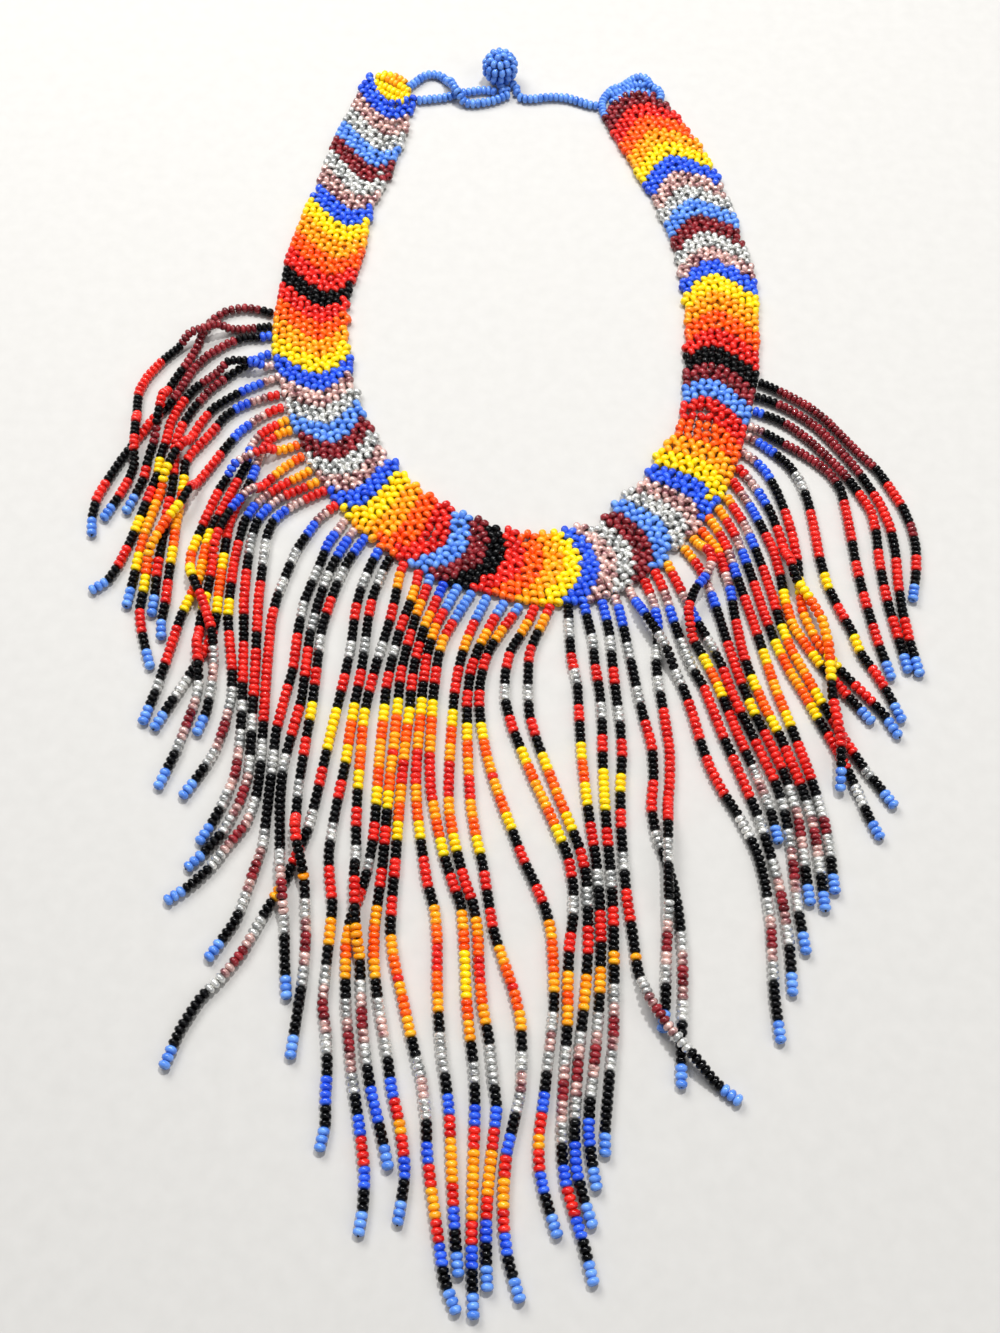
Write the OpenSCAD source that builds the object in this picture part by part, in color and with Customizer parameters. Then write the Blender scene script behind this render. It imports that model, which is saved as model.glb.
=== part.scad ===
// Beaded bib necklace: a netted collar of seed beads with long beaded strands round its lower edge,
// closed at the back by a beaded ball that a loop of beads goes round. It lies flat, as put down on a table:
// X runs across it, Y from the tips of the strands to the clasp, and the table is at Z = 0.

/* [Beads] */
// Diameter of the largest seed bead, which is also the height of the net and of a lying strand
bead_d = 2.4; // [2.2:0.1:2.4]
// Width of a strand of beads
strand_w = 2.3; // [1.8:0.1:2.3]
// Height by which one strand climbs where it lies over another
cross_lift = 2.6; // [2.5:0.1:3.2]

/* [Collar] */
// Clear space between the net and each string that hangs from it
seam_gap = 0.4; // [0.3:0.1:0.8]
// Thickness of the net
net_t = 2.4; // [2:0.1:2.4]

/* [Clasp] */
// Diameter of the beaded ball
ball_d = 11; // [9:0.5:11]
// Diameter of the bead between the ball and its string
stem_d = 2.4; // [2:0.1:2.4]

/* [Hidden] */
// Every table below is laid out on one plan with its zero near the middle of the front.
// This shift brings the middle of the whole necklace to the origin.
plan_shift = [-0.9, 1.4];

// Outer edge of the net from the left end round to the right, then its right end, its inner edge back
// and its left end
COLLAR_OUTLINE = [
    [-40.6, 163.5], [-43, 155], [-46.5, 146], [-49.5, 134], [-53, 122], [-55.5, 110], [-58, 96],
    [-59.4, 80], [-59.2, 66], [-56.8, 56], [-54.3, 46], [-50, 34], [-45, 24], [-38, 13], [-30, 4.9],
    [-20, -4.8], [-10, -10.5], [0, -14.7], [10, -16.6], [20, -15.8], [30, -10.8], [38, -4], [46, 4],
    [52, 11.9], [58, 21.6], [63, 34.5], [66.5, 48], [69.2, 62], [70, 76], [69.5, 88], [68, 102], [65, 114],
    [61.5, 127], [57.5, 138], [53.5, 148], [51, 154], [48.5, 155.6], [44, 157.6], [39.2, 158.6],
    [35.5, 155], [31.8, 148.6], [30.6, 147.6], [34, 141], [38, 131], [42, 122], [46, 111], [49, 99],
    [50.5, 86], [50.5, 74], [50, 62], [48, 50], [45, 39], [40, 28], [37, 20], [30, 14.5], [24, 9], [17, 4],
    [8, 3], [0, 4.5], [-6, 8], [-10, 11], [-17, 16], [-24, 22.5], [-28, 28], [-32, 36], [-35.5, 44],
    [-38.5, 52], [-40, 60], [-41, 70], [-40.5, 84], [-39, 95], [-37, 108], [-34, 121], [-31, 133],
    [-27.5, 144], [-24.6, 155.4], [-31.6, 152.6], [-38.6, 163.2],
];

// Patch of net that closes the left end
CAP_OUTLINE = [
    [-38.1, 164.2], [-36.8, 168], [-33, 168.3], [-28.2, 164.6], [-24.9, 160], [-24.2, 156.4],
    [-31.3, 153.5],
];

// Loops of net at the right end
LOOPS_OUTLINE = [
    [29.8, 149.2], [29.8, 156.4], [32.4, 161], [36, 163.6], [39.3, 164.7], [41.4, 167.6], [44.9, 167.3],
    [45.8, 163.4], [48.6, 162.9], [49.8, 158], [49, 156.3], [44.3, 158.4], [38.9, 159.3], [35.3, 155.9],
    [31.6, 149.4],
];

// The two strings that come from the left end and make the loop, and the one from the right end that
// carries the ball, laid out like the strands below
LOOP_UPPER = [[-26.8, 162.7], [-24.6, 165.2], [-22, 168], [-20, 168.8], [-17, 168], [-14.8, 165],
    [-14.1, 162.9, 1], [-13, 160, 1], [-11.7, 158, 1], [-10.2, 156.4], [-8, 155.9], [-5, 156.3], [-1, 157.4],
    [1.8, 159.1], [3.3, 160.2]];
LOOP_LOWER = [[-24.4, 157.4], [-20, 157.9], [-15, 158.7], [-12, 160.3], [-8, 161.1], [-4.5, 161.9],
    [-2, 161.6], [-0.5, 160.8]];
BALL_STRING = [[29.8, 155.2], [27.5, 155.2], [25, 156.4], [20, 158.6], [15, 158.9], [10, 158], [7.2, 158],
    [5.8, 159.3]];
BALL_AT = [0.5, 166.7];
STEM_AT = [0.8, 163.0];
STEM_Z = 1.7;

// The strands, in order round the edge from the left: number, then the points of the strand's route
// from root to tip. A third value of 1 marks a point where the strand lies on top of another one.
STRANDS = [
    [1, [[-58.8, 74.3], [-62, 75.9], [-68, 77.2], [-72.8, 76], [-76.3, 72.8], [-78.6, 68],
        [-79.3, 63.5], [-81.3, 58.5], [-83.9, 53.2], [-85.9, 48.2], [-86.3, 46, 1], [-86.8, 37.5, 1],
        [-87.4, 33], [-88.3, 27.5], [-88.7, 21], [-90.2, 16], [-92.3, 10]]],
    [2, [[-59, 70.7], [-63, 70.2], [-67.5, 69.5], [-71.5, 69.5], [-74, 69.4, 1], [-81.5, 66.2, 1],
        [-84, 63.5], [-88, 59], [-91.5, 53.5], [-93.2, 48.5], [-93, 43], [-92.7, 40.5], [-92.2, 37.8, 1],
        [-91.7, 28.5, 1], [-91.5, 25.5], [-92.6, 20], [-94.5, 15], [-97.6, 8.2]]],
    [3, [[-59, 67.8], [-62.5, 66.8], [-67, 66.8], [-71.5, 64.7], [-76.5, 60.5], [-80, 55.5],
        [-82.3, 49.5], [-85, 43.5], [-88.5, 39.5], [-91.5, 33.5], [-94.5, 28], [-97.5, 21], [-99.8, 15],
        [-100.3, 9], [-99.6, 3.3]]],
    [4, [[-58.3, 62], [-62.5, 60], [-66.5, 57], [-70.5, 53.5], [-75, 48.7], [-78.5, 43], [-81, 37],
        [-82, 31], [-81.6, 26], [-81.3, 18], [-82, 10], [-82.2, 2], [-82.5, -6], [-82.3, -13],
        [-82.5, -19.7]]],
    [5, [[-57, 58.3], [-61, 56.4], [-63.2, 56.5, 1], [-70.3, 56.8, 1], [-73.2, 54.8], [-78.7, 49.7],
        [-82, 43.7], [-84, 38], [-84.3, 33], [-85.3, 28], [-85.4, 22], [-87, 15], [-88.5, 8],
        [-90, 1.5], [-92, -5], [-94, -9.5], [-98.2, -12.7]]],
    [6, [[-55.5, 54.3], [-60, 52], [-65, 49.5], [-70, 46], [-73.5, 43], [-76.5, 37.5], [-78.2, 32.9],
        [-79.3, 30.4, 1], [-81.4, 26.8, 1], [-83.2, 20.4, 1], [-83.9, 17.4], [-85.5, 10], [-86.7, 4],
        [-87.5, -3], [-87.9, -9], [-88.8, -17.3]]],
    [7, [[-54.3, 47.7], [-58, 47.2], [-62, 45.7], [-66.5, 43.7], [-70.3, 40.3], [-72.5, 36],
        [-75.5, 31.5], [-78, 28], [-79, 25], [-78.6, 20.5], [-78.8, 15], [-79.3, 6], [-79.3, 0], [-79.5, -6],
        [-79.5, -16], [-80, -21], [-79.4, -26]]],
    [8, [[-54, 43.7], [-58, 42.3], [-62, 39.3], [-66, 35.5], [-69, 30.5], [-72.5, 24], [-75.3, 19],
        [-76.3, 16.6, 1], [-78, 12, 1], [-81.5, 6, 1], [-84.3, -1.5, 1], [-85.1, -4.8], [-85.1, -11],
        [-85.5, -18], [-84.5, -23], [-83, -28], [-81, -34]]],
    [9, [[-52.5, 40.5], [-55, 38.5], [-58.5, 36.5], [-61.5, 33.5], [-63, 29.5], [-63.5, 25],
        [-65, 20.5], [-67.5, 13.5], [-69.5, 8], [-71, 3], [-71.7, -4], [-72.1, -9], [-73.7, -14],
        [-75.3, -19], [-76.6, -26], [-77.9, -33], [-79.3, -40], [-81.5, -48.5]]],
    [10, [[-51, 36.3], [-55, 35.3], [-58.5, 32.5], [-60.3, 28], [-61, 23.5], [-62.5, 18], [-65, 12],
        [-66.3, 6], [-66.7, -2], [-67, -12], [-67, -20], [-67.7, -26], [-70, -31.5], [-72.5, -37],
        [-75.5, -43], [-78.8, -50]]],
    [11, [[-49, 32], [-53.5, 30], [-55.9, 29.2], [-58, 28.5, 1], [-63.3, 25.6, 1], [-66, 23.5, 1],
        [-68, 20.8], [-69.5, 17.5], [-71.5, 11], [-73.1, 5], [-74.8, -2], [-74.6, -5.3], [-74, -8, 1],
        [-72.6, -11.3, 1], [-70.4, -16, 1], [-67.4, -24, 1], [-66.5, -28.8, 1], [-66.4, -31.6], [-66.4, -38],
        [-66.9, -45], [-68.9, -51.3]]],
    [12, [[-47, 29], [-50.5, 27], [-54, 24], [-57, 20.5], [-59.4, 17.7], [-61, 16, 1], [-63.3, 13.5, 1],
        [-65.6, 9.8, 1], [-67.7, 5, 1], [-68.9, -0.6, 1], [-69.2, -3.6], [-69.7, -12], [-70.7, -20],
        [-70.7, -25], [-70.5, -27.8, 1], [-69.4, -35, 1], [-69.4, -37.6], [-69.7, -42], [-71.1, -48],
        [-73.2, -56], [-76.3, -64.8]]],
    [13, [[-45.5, 24.5], [-49.5, 21.5], [-53.5, 19], [-57, 16], [-60.3, 12.9], [-62.5, 8], [-63.4, 2],
        [-64.1, -5], [-64.3, -13], [-64.2, -20], [-63, -28], [-62, -34], [-61.5, -41], [-62.5, -49],
        [-64, -55], [-67, -61], [-70.7, -67]]],
    [14, [[-43, 21], [-46.5, 19], [-50, 17], [-53.5, 15.3], [-57, 12], [-59.3, 8.3], [-60.4, 3],
        [-60.8, -5], [-60.8, -15], [-60, -25], [-59.4, -35], [-58.9, -43], [-58.7, -53], [-59, -61],
        [-60.8, -67], [-62.7, -72], [-65.8, -78]]],
    [15, [[-41.5, 17.8], [-45.5, 15.8], [-49.5, 13.3], [-52.8, 11], [-55.5, 8], [-56.8, 3], [-57, -4],
        [-57.3, -14], [-57, -24], [-56.6, -34], [-56.4, -44], [-56.1, -54], [-56.1, -62], [-57.5, -68],
        [-60.5, -75], [-64.3, -80], [-68, -84]]],
    [16, [[-38.3, 14], [-41, 12], [-44.3, 8.5], [-46.8, 4], [-49.3, -1], [-51, -7], [-52.8, -13.5],
        [-53.8, -20], [-53.9, -30], [-53.8, -40], [-53.6, -50], [-53.5, -60], [-53.8, -66],
        [-55.5, -73], [-59, -78], [-63, -84], [-67, -88], [-71.8, -91.5]]],
    [17, [[-36.3, 10.8], [-38.8, 6], [-41.5, 1.5], [-43, -4], [-44.8, -10], [-46.5, -16], [-47.3, -24],
        [-47.8, -34], [-49.3, -42], [-50.6, -50], [-50.9, -60], [-51.2, -70], [-51.5, -78], [-53, -84],
        [-54.5, -90], [-56, -95.5], [-59, -100.5], [-61.5, -104.5]]],
    [18, [[-33.8, 8], [-36, 4], [-38.5, -1], [-41.2, -8], [-43, -16], [-44.4, -24], [-44.8, -33],
        [-45.3, -42], [-47, -51], [-48.4, -59], [-48.5, -67], [-48, -75], [-47.7, -79.3],
        [-47.3, -82.2, 1], [-46, -92, 1], [-45.7, -95], [-44.8, -106], [-44, -113]]],
    [19, [[-31, 5.5], [-34, 0.5], [-36.5, -4], [-38.6, -10], [-40.2, -16], [-41.7, -23], [-42.2, -32],
        [-42.7, -43], [-43.7, -53], [-44.6, -64], [-44.7, -71.3], [-44.5, -74, 1], [-44, -78, 1],
        [-42.3, -84, 1], [-41.8, -87.3], [-40.8, -99], [-40.8, -107], [-41.5, -115], [-42.5, -125.5]]],
    [20, [[-27.8, 2], [-30.5, -4], [-32.8, -11], [-34, -18], [-34.5, -27], [-35.5, -35], [-36.8, -43],
        [-38, -50], [-39.2, -58], [-40.5, -67], [-42, -75], [-44, -80.5], [-45.8, -86], [-48.3, -90.5],
        [-51, -96], [-54, -102.5], [-57.5, -107.5], [-62, -112.5], [-65.5, -119], [-68.3, -127.5]]],
    [21, [[-24.8, -0.5], [-27, -4.5], [-28.5, -9], [-30, -14], [-30.8, -20], [-31.3, -28], [-31.9, -35],
        [-33, -43], [-33.7, -50], [-34.3, -58], [-35.5, -66], [-36.5, -74], [-37, -80], [-36.5, -86],
        [-35.5, -92], [-35.8, -99], [-36.2, -107], [-36.5, -114], [-35.3, -120], [-34.7, -127],
        [-34.8, -133], [-34.4, -138], [-35.5, -144]]],
    [22, [[-22.3, -3], [-23.8, -8], [-24.5, -14], [-25.5, -20], [-27, -26.5], [-28.3, -32],
        [-29.8, -40], [-30.8, -47], [-31, -55], [-31.3, -64], [-31.3, -73], [-30.9, -81.3], [-31, -84.2, 1],
        [-30.3, -96, 1], [-29.7, -100.2, 1], [-29.2, -103.2], [-28.6, -111], [-28, -118], [-27, -125],
        [-25.6, -132], [-23.6, -139], [-22.3, -144], [-21.5, -147.5]]],
    [23, [[-19, -5.5], [-19.5, -10], [-20.9, -15.5], [-23, -22.5], [-24.7, -31], [-25.8, -38],
        [-26.2, -46], [-26.7, -55], [-26.9, -63], [-27.1, -71], [-27.4, -77], [-28.3, -84], [-29.8, -90],
        [-31.5, -95], [-32.2, -101], [-32, -108], [-31.5, -115], [-30.7, -121], [-29.8, -128],
        [-28.6, -134], [-27.3, -141], [-26.2, -148], [-26.2, -154], [-27, -160]]],
    [24, [[-16, -6.5], [-17, -11.5], [-19.1, -18], [-21.2, -27], [-22.6, -35], [-23, -43], [-23.5, -52],
        [-24.2, -62], [-24.6, -72], [-25, -82], [-25.6, -89], [-26.3, -97], [-26.2, -104],
        [-25.3, -111], [-24, -118], [-22.5, -125], [-21.5, -131.5], [-19.7, -138], [-18.5, -145],
        [-18.2, -148.5], [-18.9, -154], [-19.5, -158]]],
    [25, [[-12.3, -8.5], [-14, -13], [-15.5, -17.5], [-17.2, -21.5], [-18.4, -27], [-19.4, -32],
        [-20, -38], [-20.2, -44], [-20.9, -52], [-21.4, -60], [-21.9, -70], [-22.2, -80], [-22.7, -90],
        [-22.9, -98], [-22, -104], [-20, -112], [-17.5, -122], [-15.5, -129], [-14.3, -137],
        [-14, -144], [-13, -151], [-11.5, -160], [-10.1, -168], [-7.6, -174]]],
    [26, [[-9.5, -11], [-12.5, -17.5], [-14.5, -21.5], [-15.8, -26.5], [-16.7, -31], [-17.4, -38.5],
        [-17.7, -46], [-18.1, -53], [-18.4, -62], [-17.9, -70], [-16.8, -78], [-15.3, -87],
        [-13.5, -93], [-12.8, -100], [-12.7, -108], [-12.3, -116], [-11.5, -124], [-10.5, -130], [-9.8, -135],
        [-9.4, -141], [-9, -148], [-8.5, -156], [-8, -162], [-7.4, -167.5]]],
    [27, [[-6, -12.5], [-8.5, -17], [-10.8, -21.5], [-13, -26], [-14, -31], [-14.5, -36], [-15, -43],
        [-15.2, -50], [-15.4, -57], [-15, -65], [-13.3, -74], [-11.7, -81], [-9.8, -87], [-7.9, -92],
        [-7.3, -98], [-6.9, -105], [-6.5, -113], [-5.8, -120], [-4.8, -127], [-4.5, -134], [-4.7, -143],
        [-4.9, -152], [-5, -160], [-4.8, -168], [-4.5, -175]]],
    [28, [[-2.3, -13.5], [-4.2, -18], [-5.7, -21.5], [-7.3, -26], [-8.4, -30], [-9.2, -34], [-10, -40],
        [-10.4, -47], [-10.8, -55], [-11, -64], [-10.8, -70], [-9.8, -76], [-8.4, -82], [-7, -87],
        [-5.2, -92], [-4.2, -98], [-3.9, -106], [-3.2, -114], [-1.6, -122], [-0.9, -129], [-0.1, -135],
        [-0.9, -142], [-1.8, -150], [-2.2, -158], [-2.1, -165], [-1.9, -170]]],
    [29, [[1.7, -15.5], [-0.3, -19], [-2.4, -23.5], [-4.6, -28.5], [-6.3, -34], [-7.1, -42], [-7, -50],
        [-6.6, -60], [-6, -69], [-4.8, -76], [-3.2, -83], [-2, -91], [-0.9, -98], [1.2, -104.5],
        [3.4, -111], [4.8, -117], [5.1, -125], [4.7, -132], [3.3, -138], [1.8, -144], [1.2, -151],
        [1.2, -158], [2, -164], [4.5, -172]]],
    [30, [[5.3, -16.5], [3.5, -19.5], [0.9, -23.5], [-1.4, -27.5], [-3.1, -32], [-4.1, -37.5],
        [-4.3, -43], [-3.8, -49], [-2.6, -56], [-0.8, -63], [1.2, -69], [3.3, -75], [5.5, -81.5], [8, -87],
        [10.3, -93], [11.4, -98], [11.8, -106], [11.8, -114], [11.1, -120], [10.2, -127], [9.3, -134],
        [8.2, -141], [8.2, -147], [9.2, -152], [11.8, -160.3]]],
    [31, [[9, -16.3], [7.7, -20], [5.2, -25], [2.9, -29], [1.7, -35], [1.6, -42], [3.2, -49],
        [5.5, -55.5], [8.3, -63], [10.8, -69], [13.2, -75], [15.4, -81], [16.4, -88], [16.2, -95],
        [15.3, -100.5], [14.8, -108], [14.5, -118], [13.6, -128], [12.9, -137], [12.8, -145], [13.5, -150.5],
        [15.1, -156], [16.9, -162], [18.5, -169]]],
    [32, [[12.7, -16.3], [11, -20.5], [8.8, -25.5], [7.3, -30], [7, -38], [7.2, -46], [9, -53],
        [11.3, -60], [13.7, -67], [15.9, -73], [18, -79], [19.2, -85], [19.4, -93], [19.2, -102], [18.5, -110],
        [17.5, -118], [16.5, -126], [15.8, -134], [15.4, -141], [15.6, -147.5], [16.8, -152.5],
        [18.7, -158.5]]],
    [33, [[16.8, -16.3], [16.9, -24], [17.2, -31], [18.5, -38], [18.7, -48], [19, -57], [19.7, -66],
        [20.5, -74], [21.5, -82], [22, -91], [22, -101], [21.5, -110], [20.7, -119], [19.7, -127],
        [18.7, -134], [18.2, -140], [18.6, -145], [19.6, -151.5]]],
    [34, [[20.5, -15.3], [21.2, -20], [22.4, -26], [22.7, -33], [23.6, -40], [23.9, -48], [23.7, -57],
        [23.8, -66], [24.1, -76], [24.7, -86], [24.8, -96], [24.6, -105], [24.3, -114], [23.9, -121],
        [22.9, -128], [22.2, -134], [21.5, -140], [21.4, -145]]],
    [35, [[24.4, -13.5], [25.3, -17.5], [26.4, -24], [26.8, -32], [27.3, -40], [28, -48], [28.2, -56],
        [27.4, -65], [27.2, -74], [27.5, -83], [27.9, -91], [28.8, -99], [29.5, -107],
        [31.5, -113.5, 1], [35.5, -120, 1], [40, -125.5, 1], [44.5, -130.5], [49.3, -134.3]]],
    [36, [[27.6, -12.3], [28.8, -17], [30, -24], [31, -31], [32.2, -39], [33.3, -46], [35, -54],
        [35.1, -61], [34.1, -69], [34.8, -75.5], [36.3, -80.5], [37.9, -86.5], [38.8, -93], [39.2, -101],
        [38.9, -109], [38.3, -117], [37.6, -124], [37.3, -131.5]]],
    [37, [[31, -9.3], [32, -14], [34.3, -19.5, 1], [37, -24.5, 1], [39.5, -30, 1], [41.5, -35],
        [43.3, -40], [45, -47], [46.3, -54], [48, -60], [50.3, -65.5], [53, -70.5], [55.2, -75.5], [57, -81],
        [58, -88], [58.4, -96], [58.1, -104], [57.8, -112], [58.3, -122.3]]],
    [38, [[34.4, -6.5], [35.8, -11], [37.3, -16], [38, -22], [37.6, -27], [37, -32], [37.3, -38],
        [38.2, -46], [39, -55], [38.6, -63], [37.9, -68], [37.4, -73.5, 1], [36.9, -83, 1], [36.6, -92, 1],
        [36.3, -97], [35.8, -102], [35.3, -109], [34.9, -115], [33.9, -120]]],
    [39, [[37, -4.8], [38.8, -9], [40.3, -14], [41.5, -20], [43.3, -27], [45.3, -33.5], [47.7, -38.5],
        [49.5, -45], [51.3, -51.5], [53.5, -58], [56, -66], [57.9, -72], [59.4, -79], [60.7, -86],
        [61.5, -93], [61.9, -101], [61.8, -107], [61.6, -112.3]]],
    [40, [[40.2, -1.5], [41.5, -6], [43.3, -10.5], [45.3, -16], [47.5, -21.5], [50, -27], [52.3, -33],
        [53.8, -39], [55.7, -45], [57.9, -51], [60, -57], [62.2, -63], [63.6, -69.5], [64.3, -77],
        [64.4, -85], [64.5, -93], [65.4, -103.3]]],
    [41, [[44, 1.8], [46.4, -1.7], [48.9, -6], [50.9, -12], [52.7, -20], [54.5, -29], [56.5, -37.5],
        [58.7, -45], [61, -51], [63.5, -58], [65.2, -64], [66.5, -71], [66.9, -79], [67, -86],
        [67.3, -92.3]]],
    [42, [[46.3, 5], [48.9, 1], [51.4, -2.6, 1], [51.6, -6, 1], [49.8, -10, 1], [47, -13.4, 1],
        [45, -19, 1], [45.2, -22, 1], [45.8, -25.5], [48.3, -31], [50.9, -38], [52.8, -44.5], [55, -52],
        [58, -61], [60.5, -69.5], [61.8, -78]]],
    [43, [[48.2, 7.9], [50.8, 3.8], [53.6, -0.5], [54.7, -6], [55.9, -12.5], [56.4, -20], [57.4, -29],
        [59.2, -37], [61.8, -45], [64.3, -51.5], [66.4, -58.5], [68.1, -64.5], [69.6, -72], [70.1, -80],
        [70.2, -87], [70.4, -93.7]]],
    [44, [[50.9, 10.9], [53.7, 5.6], [56, 0], [57.6, -8], [59.3, -15.5], [61, -23], [62.6, -31],
        [64.5, -40], [66.5, -47], [68.3, -54], [69.9, -60], [71.1, -66], [72.2, -72], [72.8, -79], [72.8, -85],
        [72.9, -89.7]]],
    [45, [[53.4, 14], [55.9, 9], [58.2, 3.5], [60, -3], [61.6, -10], [63.4, -19], [65.4, -27],
        [68, -34.5], [71, -41], [73.8, -48], [76.5, -54], [78.5, -59.5], [80.5, -65.5], [82, -71],
        [84.4, -77]]],
    [46, [[55.7, 17.8], [58.3, 12], [60.7, 7], [62.7, 0], [64.4, -7], [66, -15], [67.1, -22], [69, -29],
        [71.5, -35], [74.5, -42.5], [77.2, -48.5], [79.7, -54], [82.2, -59], [85, -63.5],
        [88.5, -69.3]]],
    [47, [[57.9, 21.8], [60.5, 16.5], [63.1, 11], [65.2, 5], [67.2, -1], [68.2, -8], [68.7, -15],
        [69.8, -22], [72.5, -27.5], [75.5, -33], [79.2, -38.7], [82.7, -43.7], [86, -48.2]]],
    [48, [[59.7, 25], [62.5, 21.3], [65.3, 16], [67.5, 10.5], [69.2, 3], [69.9, -1.5], [70.5, -4.8, 1],
        [71.3, -10.5, 1], [74, -16, 1], [76.5, -22, 1], [77.3, -29, 1], [77, -36, 1], [76.7, -43, 1],
        [77.3, -49, 1], [77.5, -54, 1], [76.7, -61, 1], [76.5, -65.5]]],
    [49, [[61, 29.7], [64.3, 27], [67.3, 23], [69.5, 17], [71, 11], [72.3, 3], [72.8, -5], [72.5, -12],
        [72.7, -19], [75, -26], [77.8, -31], [80.3, -35], [84.9, -40.8], [88.4, -45.5], [91.6, -52]]],
    [50, [[62.5, 34.5], [65.8, 32.5], [70, 28.6], [73.2, 25], [75.7, 20], [77, 14], [77.8, 5],
        [78.2, -3], [79.3, -11], [81.5, -18], [83.7, -23.5], [85.2, -30], [88, -35], [90.3, -40.5],
        [92.8, -48]]],
    [51, [[63.3, 37.7], [67, 35.8], [71.5, 32.5], [76, 29.3], [80, 26], [83.3, 22.3], [85.6, 17.5],
        [86.2, 10], [86.6, 2], [86.9, -5], [87.5, -12], [88.4, -19], [89.6, -27], [91.7, -37]]],
    [52, [[64.5, 43], [67.5, 41.3], [71.5, 39.5], [75, 37], [79, 32.9], [82.2, 28.8], [84.8, 25.3],
        [87.5, 21], [90, 16], [92.3, 11], [92.9, 4], [92.6, -3], [92.8, -10], [93.3, -17], [94.3, -24],
        [95.8, -35]]],
    [53, [[66, 47], [69.5, 45.8], [74, 43.3], [78.3, 40], [81.8, 36.5], [84.8, 32.3], [87.5, 28],
        [90.2, 23.5], [92.8, 18], [95, 12.5], [96.5, 6], [96.9, -1], [96.4, -10], [96.4, -18], [97.2, -27],
        [98.4, -36]]],
    [54, [[66.2, 52.3], [70, 50.5], [75, 47.3], [79.8, 43.8], [84, 39.2], [87.9, 33.5], [91.5, 28.3],
        [95.3, 23.5], [98, 17.5], [100.3, 12], [101.7, 6], [102.1, 0], [101.2, -7], [99.2, -15.5]]],
];

// The strands of each bunch, first and last number
BUNCHES = [
    ["fringe_left_1", 1, 3], ["fringe_left_2", 4, 8], ["fringe_left_3", 9, 12], ["fringe_left_4", 13, 16],
    ["fringe_left_5", 17, 20], ["fringe_left_6", 21, 24], ["fringe_centre", 25, 30],
    ["fringe_right_6", 31, 34], ["fringe_right_5", 35, 38], ["fringe_right_4", 39, 42],
    ["fringe_right_3", 43, 44], ["fringe_right_2", 45, 50], ["fringe_right_1", 51, 54],
];

// Half widths and heights of a strand's six-sided section, going round it from the right
SECTION = [[0.5, 0], [0.26, 0.5], [-0.26, 0.5], [-0.5, 0], [-0.26, -0.5], [0.26, -0.5]];
SIDES = len(SECTION);

function unit(v) = v / norm(v);
function flat(p) = [p[0] + plan_shift[0], p[1] + plan_shift[1]];
function height(p) = len(p) > 2 ? bead_d / 2 + cross_lift * p[2] : bead_d / 2;

// Distance from a point to the line between two others
function off_line(p, a, b) =
    let(ab = b - a, t = max(0, min(1, (p - a) * ab / (ab * ab))))
    norm(p - a - t * ab);
function off_outline(p, outline) =
    let(n = len(outline))
    min([for (i = [0 : n - 1]) off_line(p, flat(outline[i]), flat(outline[(i + 1) % n]))]);
// Where a string's root end is when it is moved on by t along its first stretch, and the space that
// its two corners then keep to the net
function root_at(route, t) = flat(route[0]) + t * unit(flat(route[1]) - flat(route[0]));
function root_space(route, outline, t) =
    let(h = unit(flat(route[1]) - flat(route[0])), side = [h[1], -h[0]] * strand_w / 2, c = root_at(route, t))
    min(off_outline(c + side, outline), off_outline(c - side, outline), off_outline(c, outline));
// The root end is drawn back from START_T in small steps for as long as it stays clear of the net
START_T = 3;
STEP_T = 0.1;
function settled(route, outline, t = START_T) =
    t > -START_T && root_space(route, outline, t - STEP_T) >= seam_gap
        ? settled(route, outline, t - STEP_T) : t;
// Places along a route whose root end is already at start
function place(route, start, i) = i == 0 ? start : flat(route[i]);
// Direction across the route at one of its points
function heading(route, start, i) =
    let(last = len(route) - 1)
    unit(place(route, start, min(i + 1, last)) - place(route, start, max(i - 1, 0)));
function across(route, start, i) = let(h = heading(route, start, i)) [h[1], -h[0]];
function ring(route, start, i) =
    let(c = place(route, start, i), a = across(route, start, i), z = height(route[i]))
    [for (s = SECTION) [c[0] + a[0] * s[0] * strand_w, c[1] + a[1] * s[0] * strand_w, z + s[1] * bead_d]];
function ring_start(i) = i * SIDES;
// The two triangles that join side k of ring i to ring i + 1
function side_faces(i, k) =
    let(a = ring_start(i) + k, b = ring_start(i) + (k + 1) % SIDES)
    [[a, a + SIDES, b], [b, a + SIDES, b + SIDES]];

// A string of beads lying along a route that starts at an outline, as one solid
module string_of_beads(route, outline) {
    rings = len(route);
    start = root_at(route, settled(route, outline));
    points = [for (i = [0 : rings - 1]) each ring(route, start, i)];
    sides = [for (i = [0 : rings - 2], k = [0 : SIDES - 1]) each side_faces(i, k)];
    first_end = [for (k = [1 : SIDES - 2]) [0, k, k + 1]];
    last = ring_start(rings - 1);
    last_end = [for (k = [1 : SIDES - 2]) [last, last + k + 1, last + k]];
    polyhedron(points = points, faces = concat(sides, first_end, last_end), convexity = 6);
}

// A flat piece of net
module net(outline) {
    linear_extrude(height = net_t)
        polygon([for (p = outline) flat(p)]);
}

// One bunch of strands, by its line in the table
module bunch(name) {
    row = [for (b = BUNCHES) if (b[0] == name) b][0];
    for (s = STRANDS)
        if (s[0] >= row[1] && s[0] <= row[2])
            string_of_beads(s[1], COLLAR_OUTLINE);
}

module collar_band() {
    color("#8A2A1E")
        net(COLLAR_OUTLINE);
}

module left_end_cap() {
    color("#FFC400")
        net(CAP_OUTLINE);
}

module right_end_loops() {
    color("#5F93E8")
        net(LOOPS_OUTLINE);
}

module clasp_loop() {
    color("#5F93E8") {
        string_of_beads(LOOP_UPPER, CAP_OUTLINE);
        string_of_beads(LOOP_LOWER, CAP_OUTLINE);
    }
}

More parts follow.
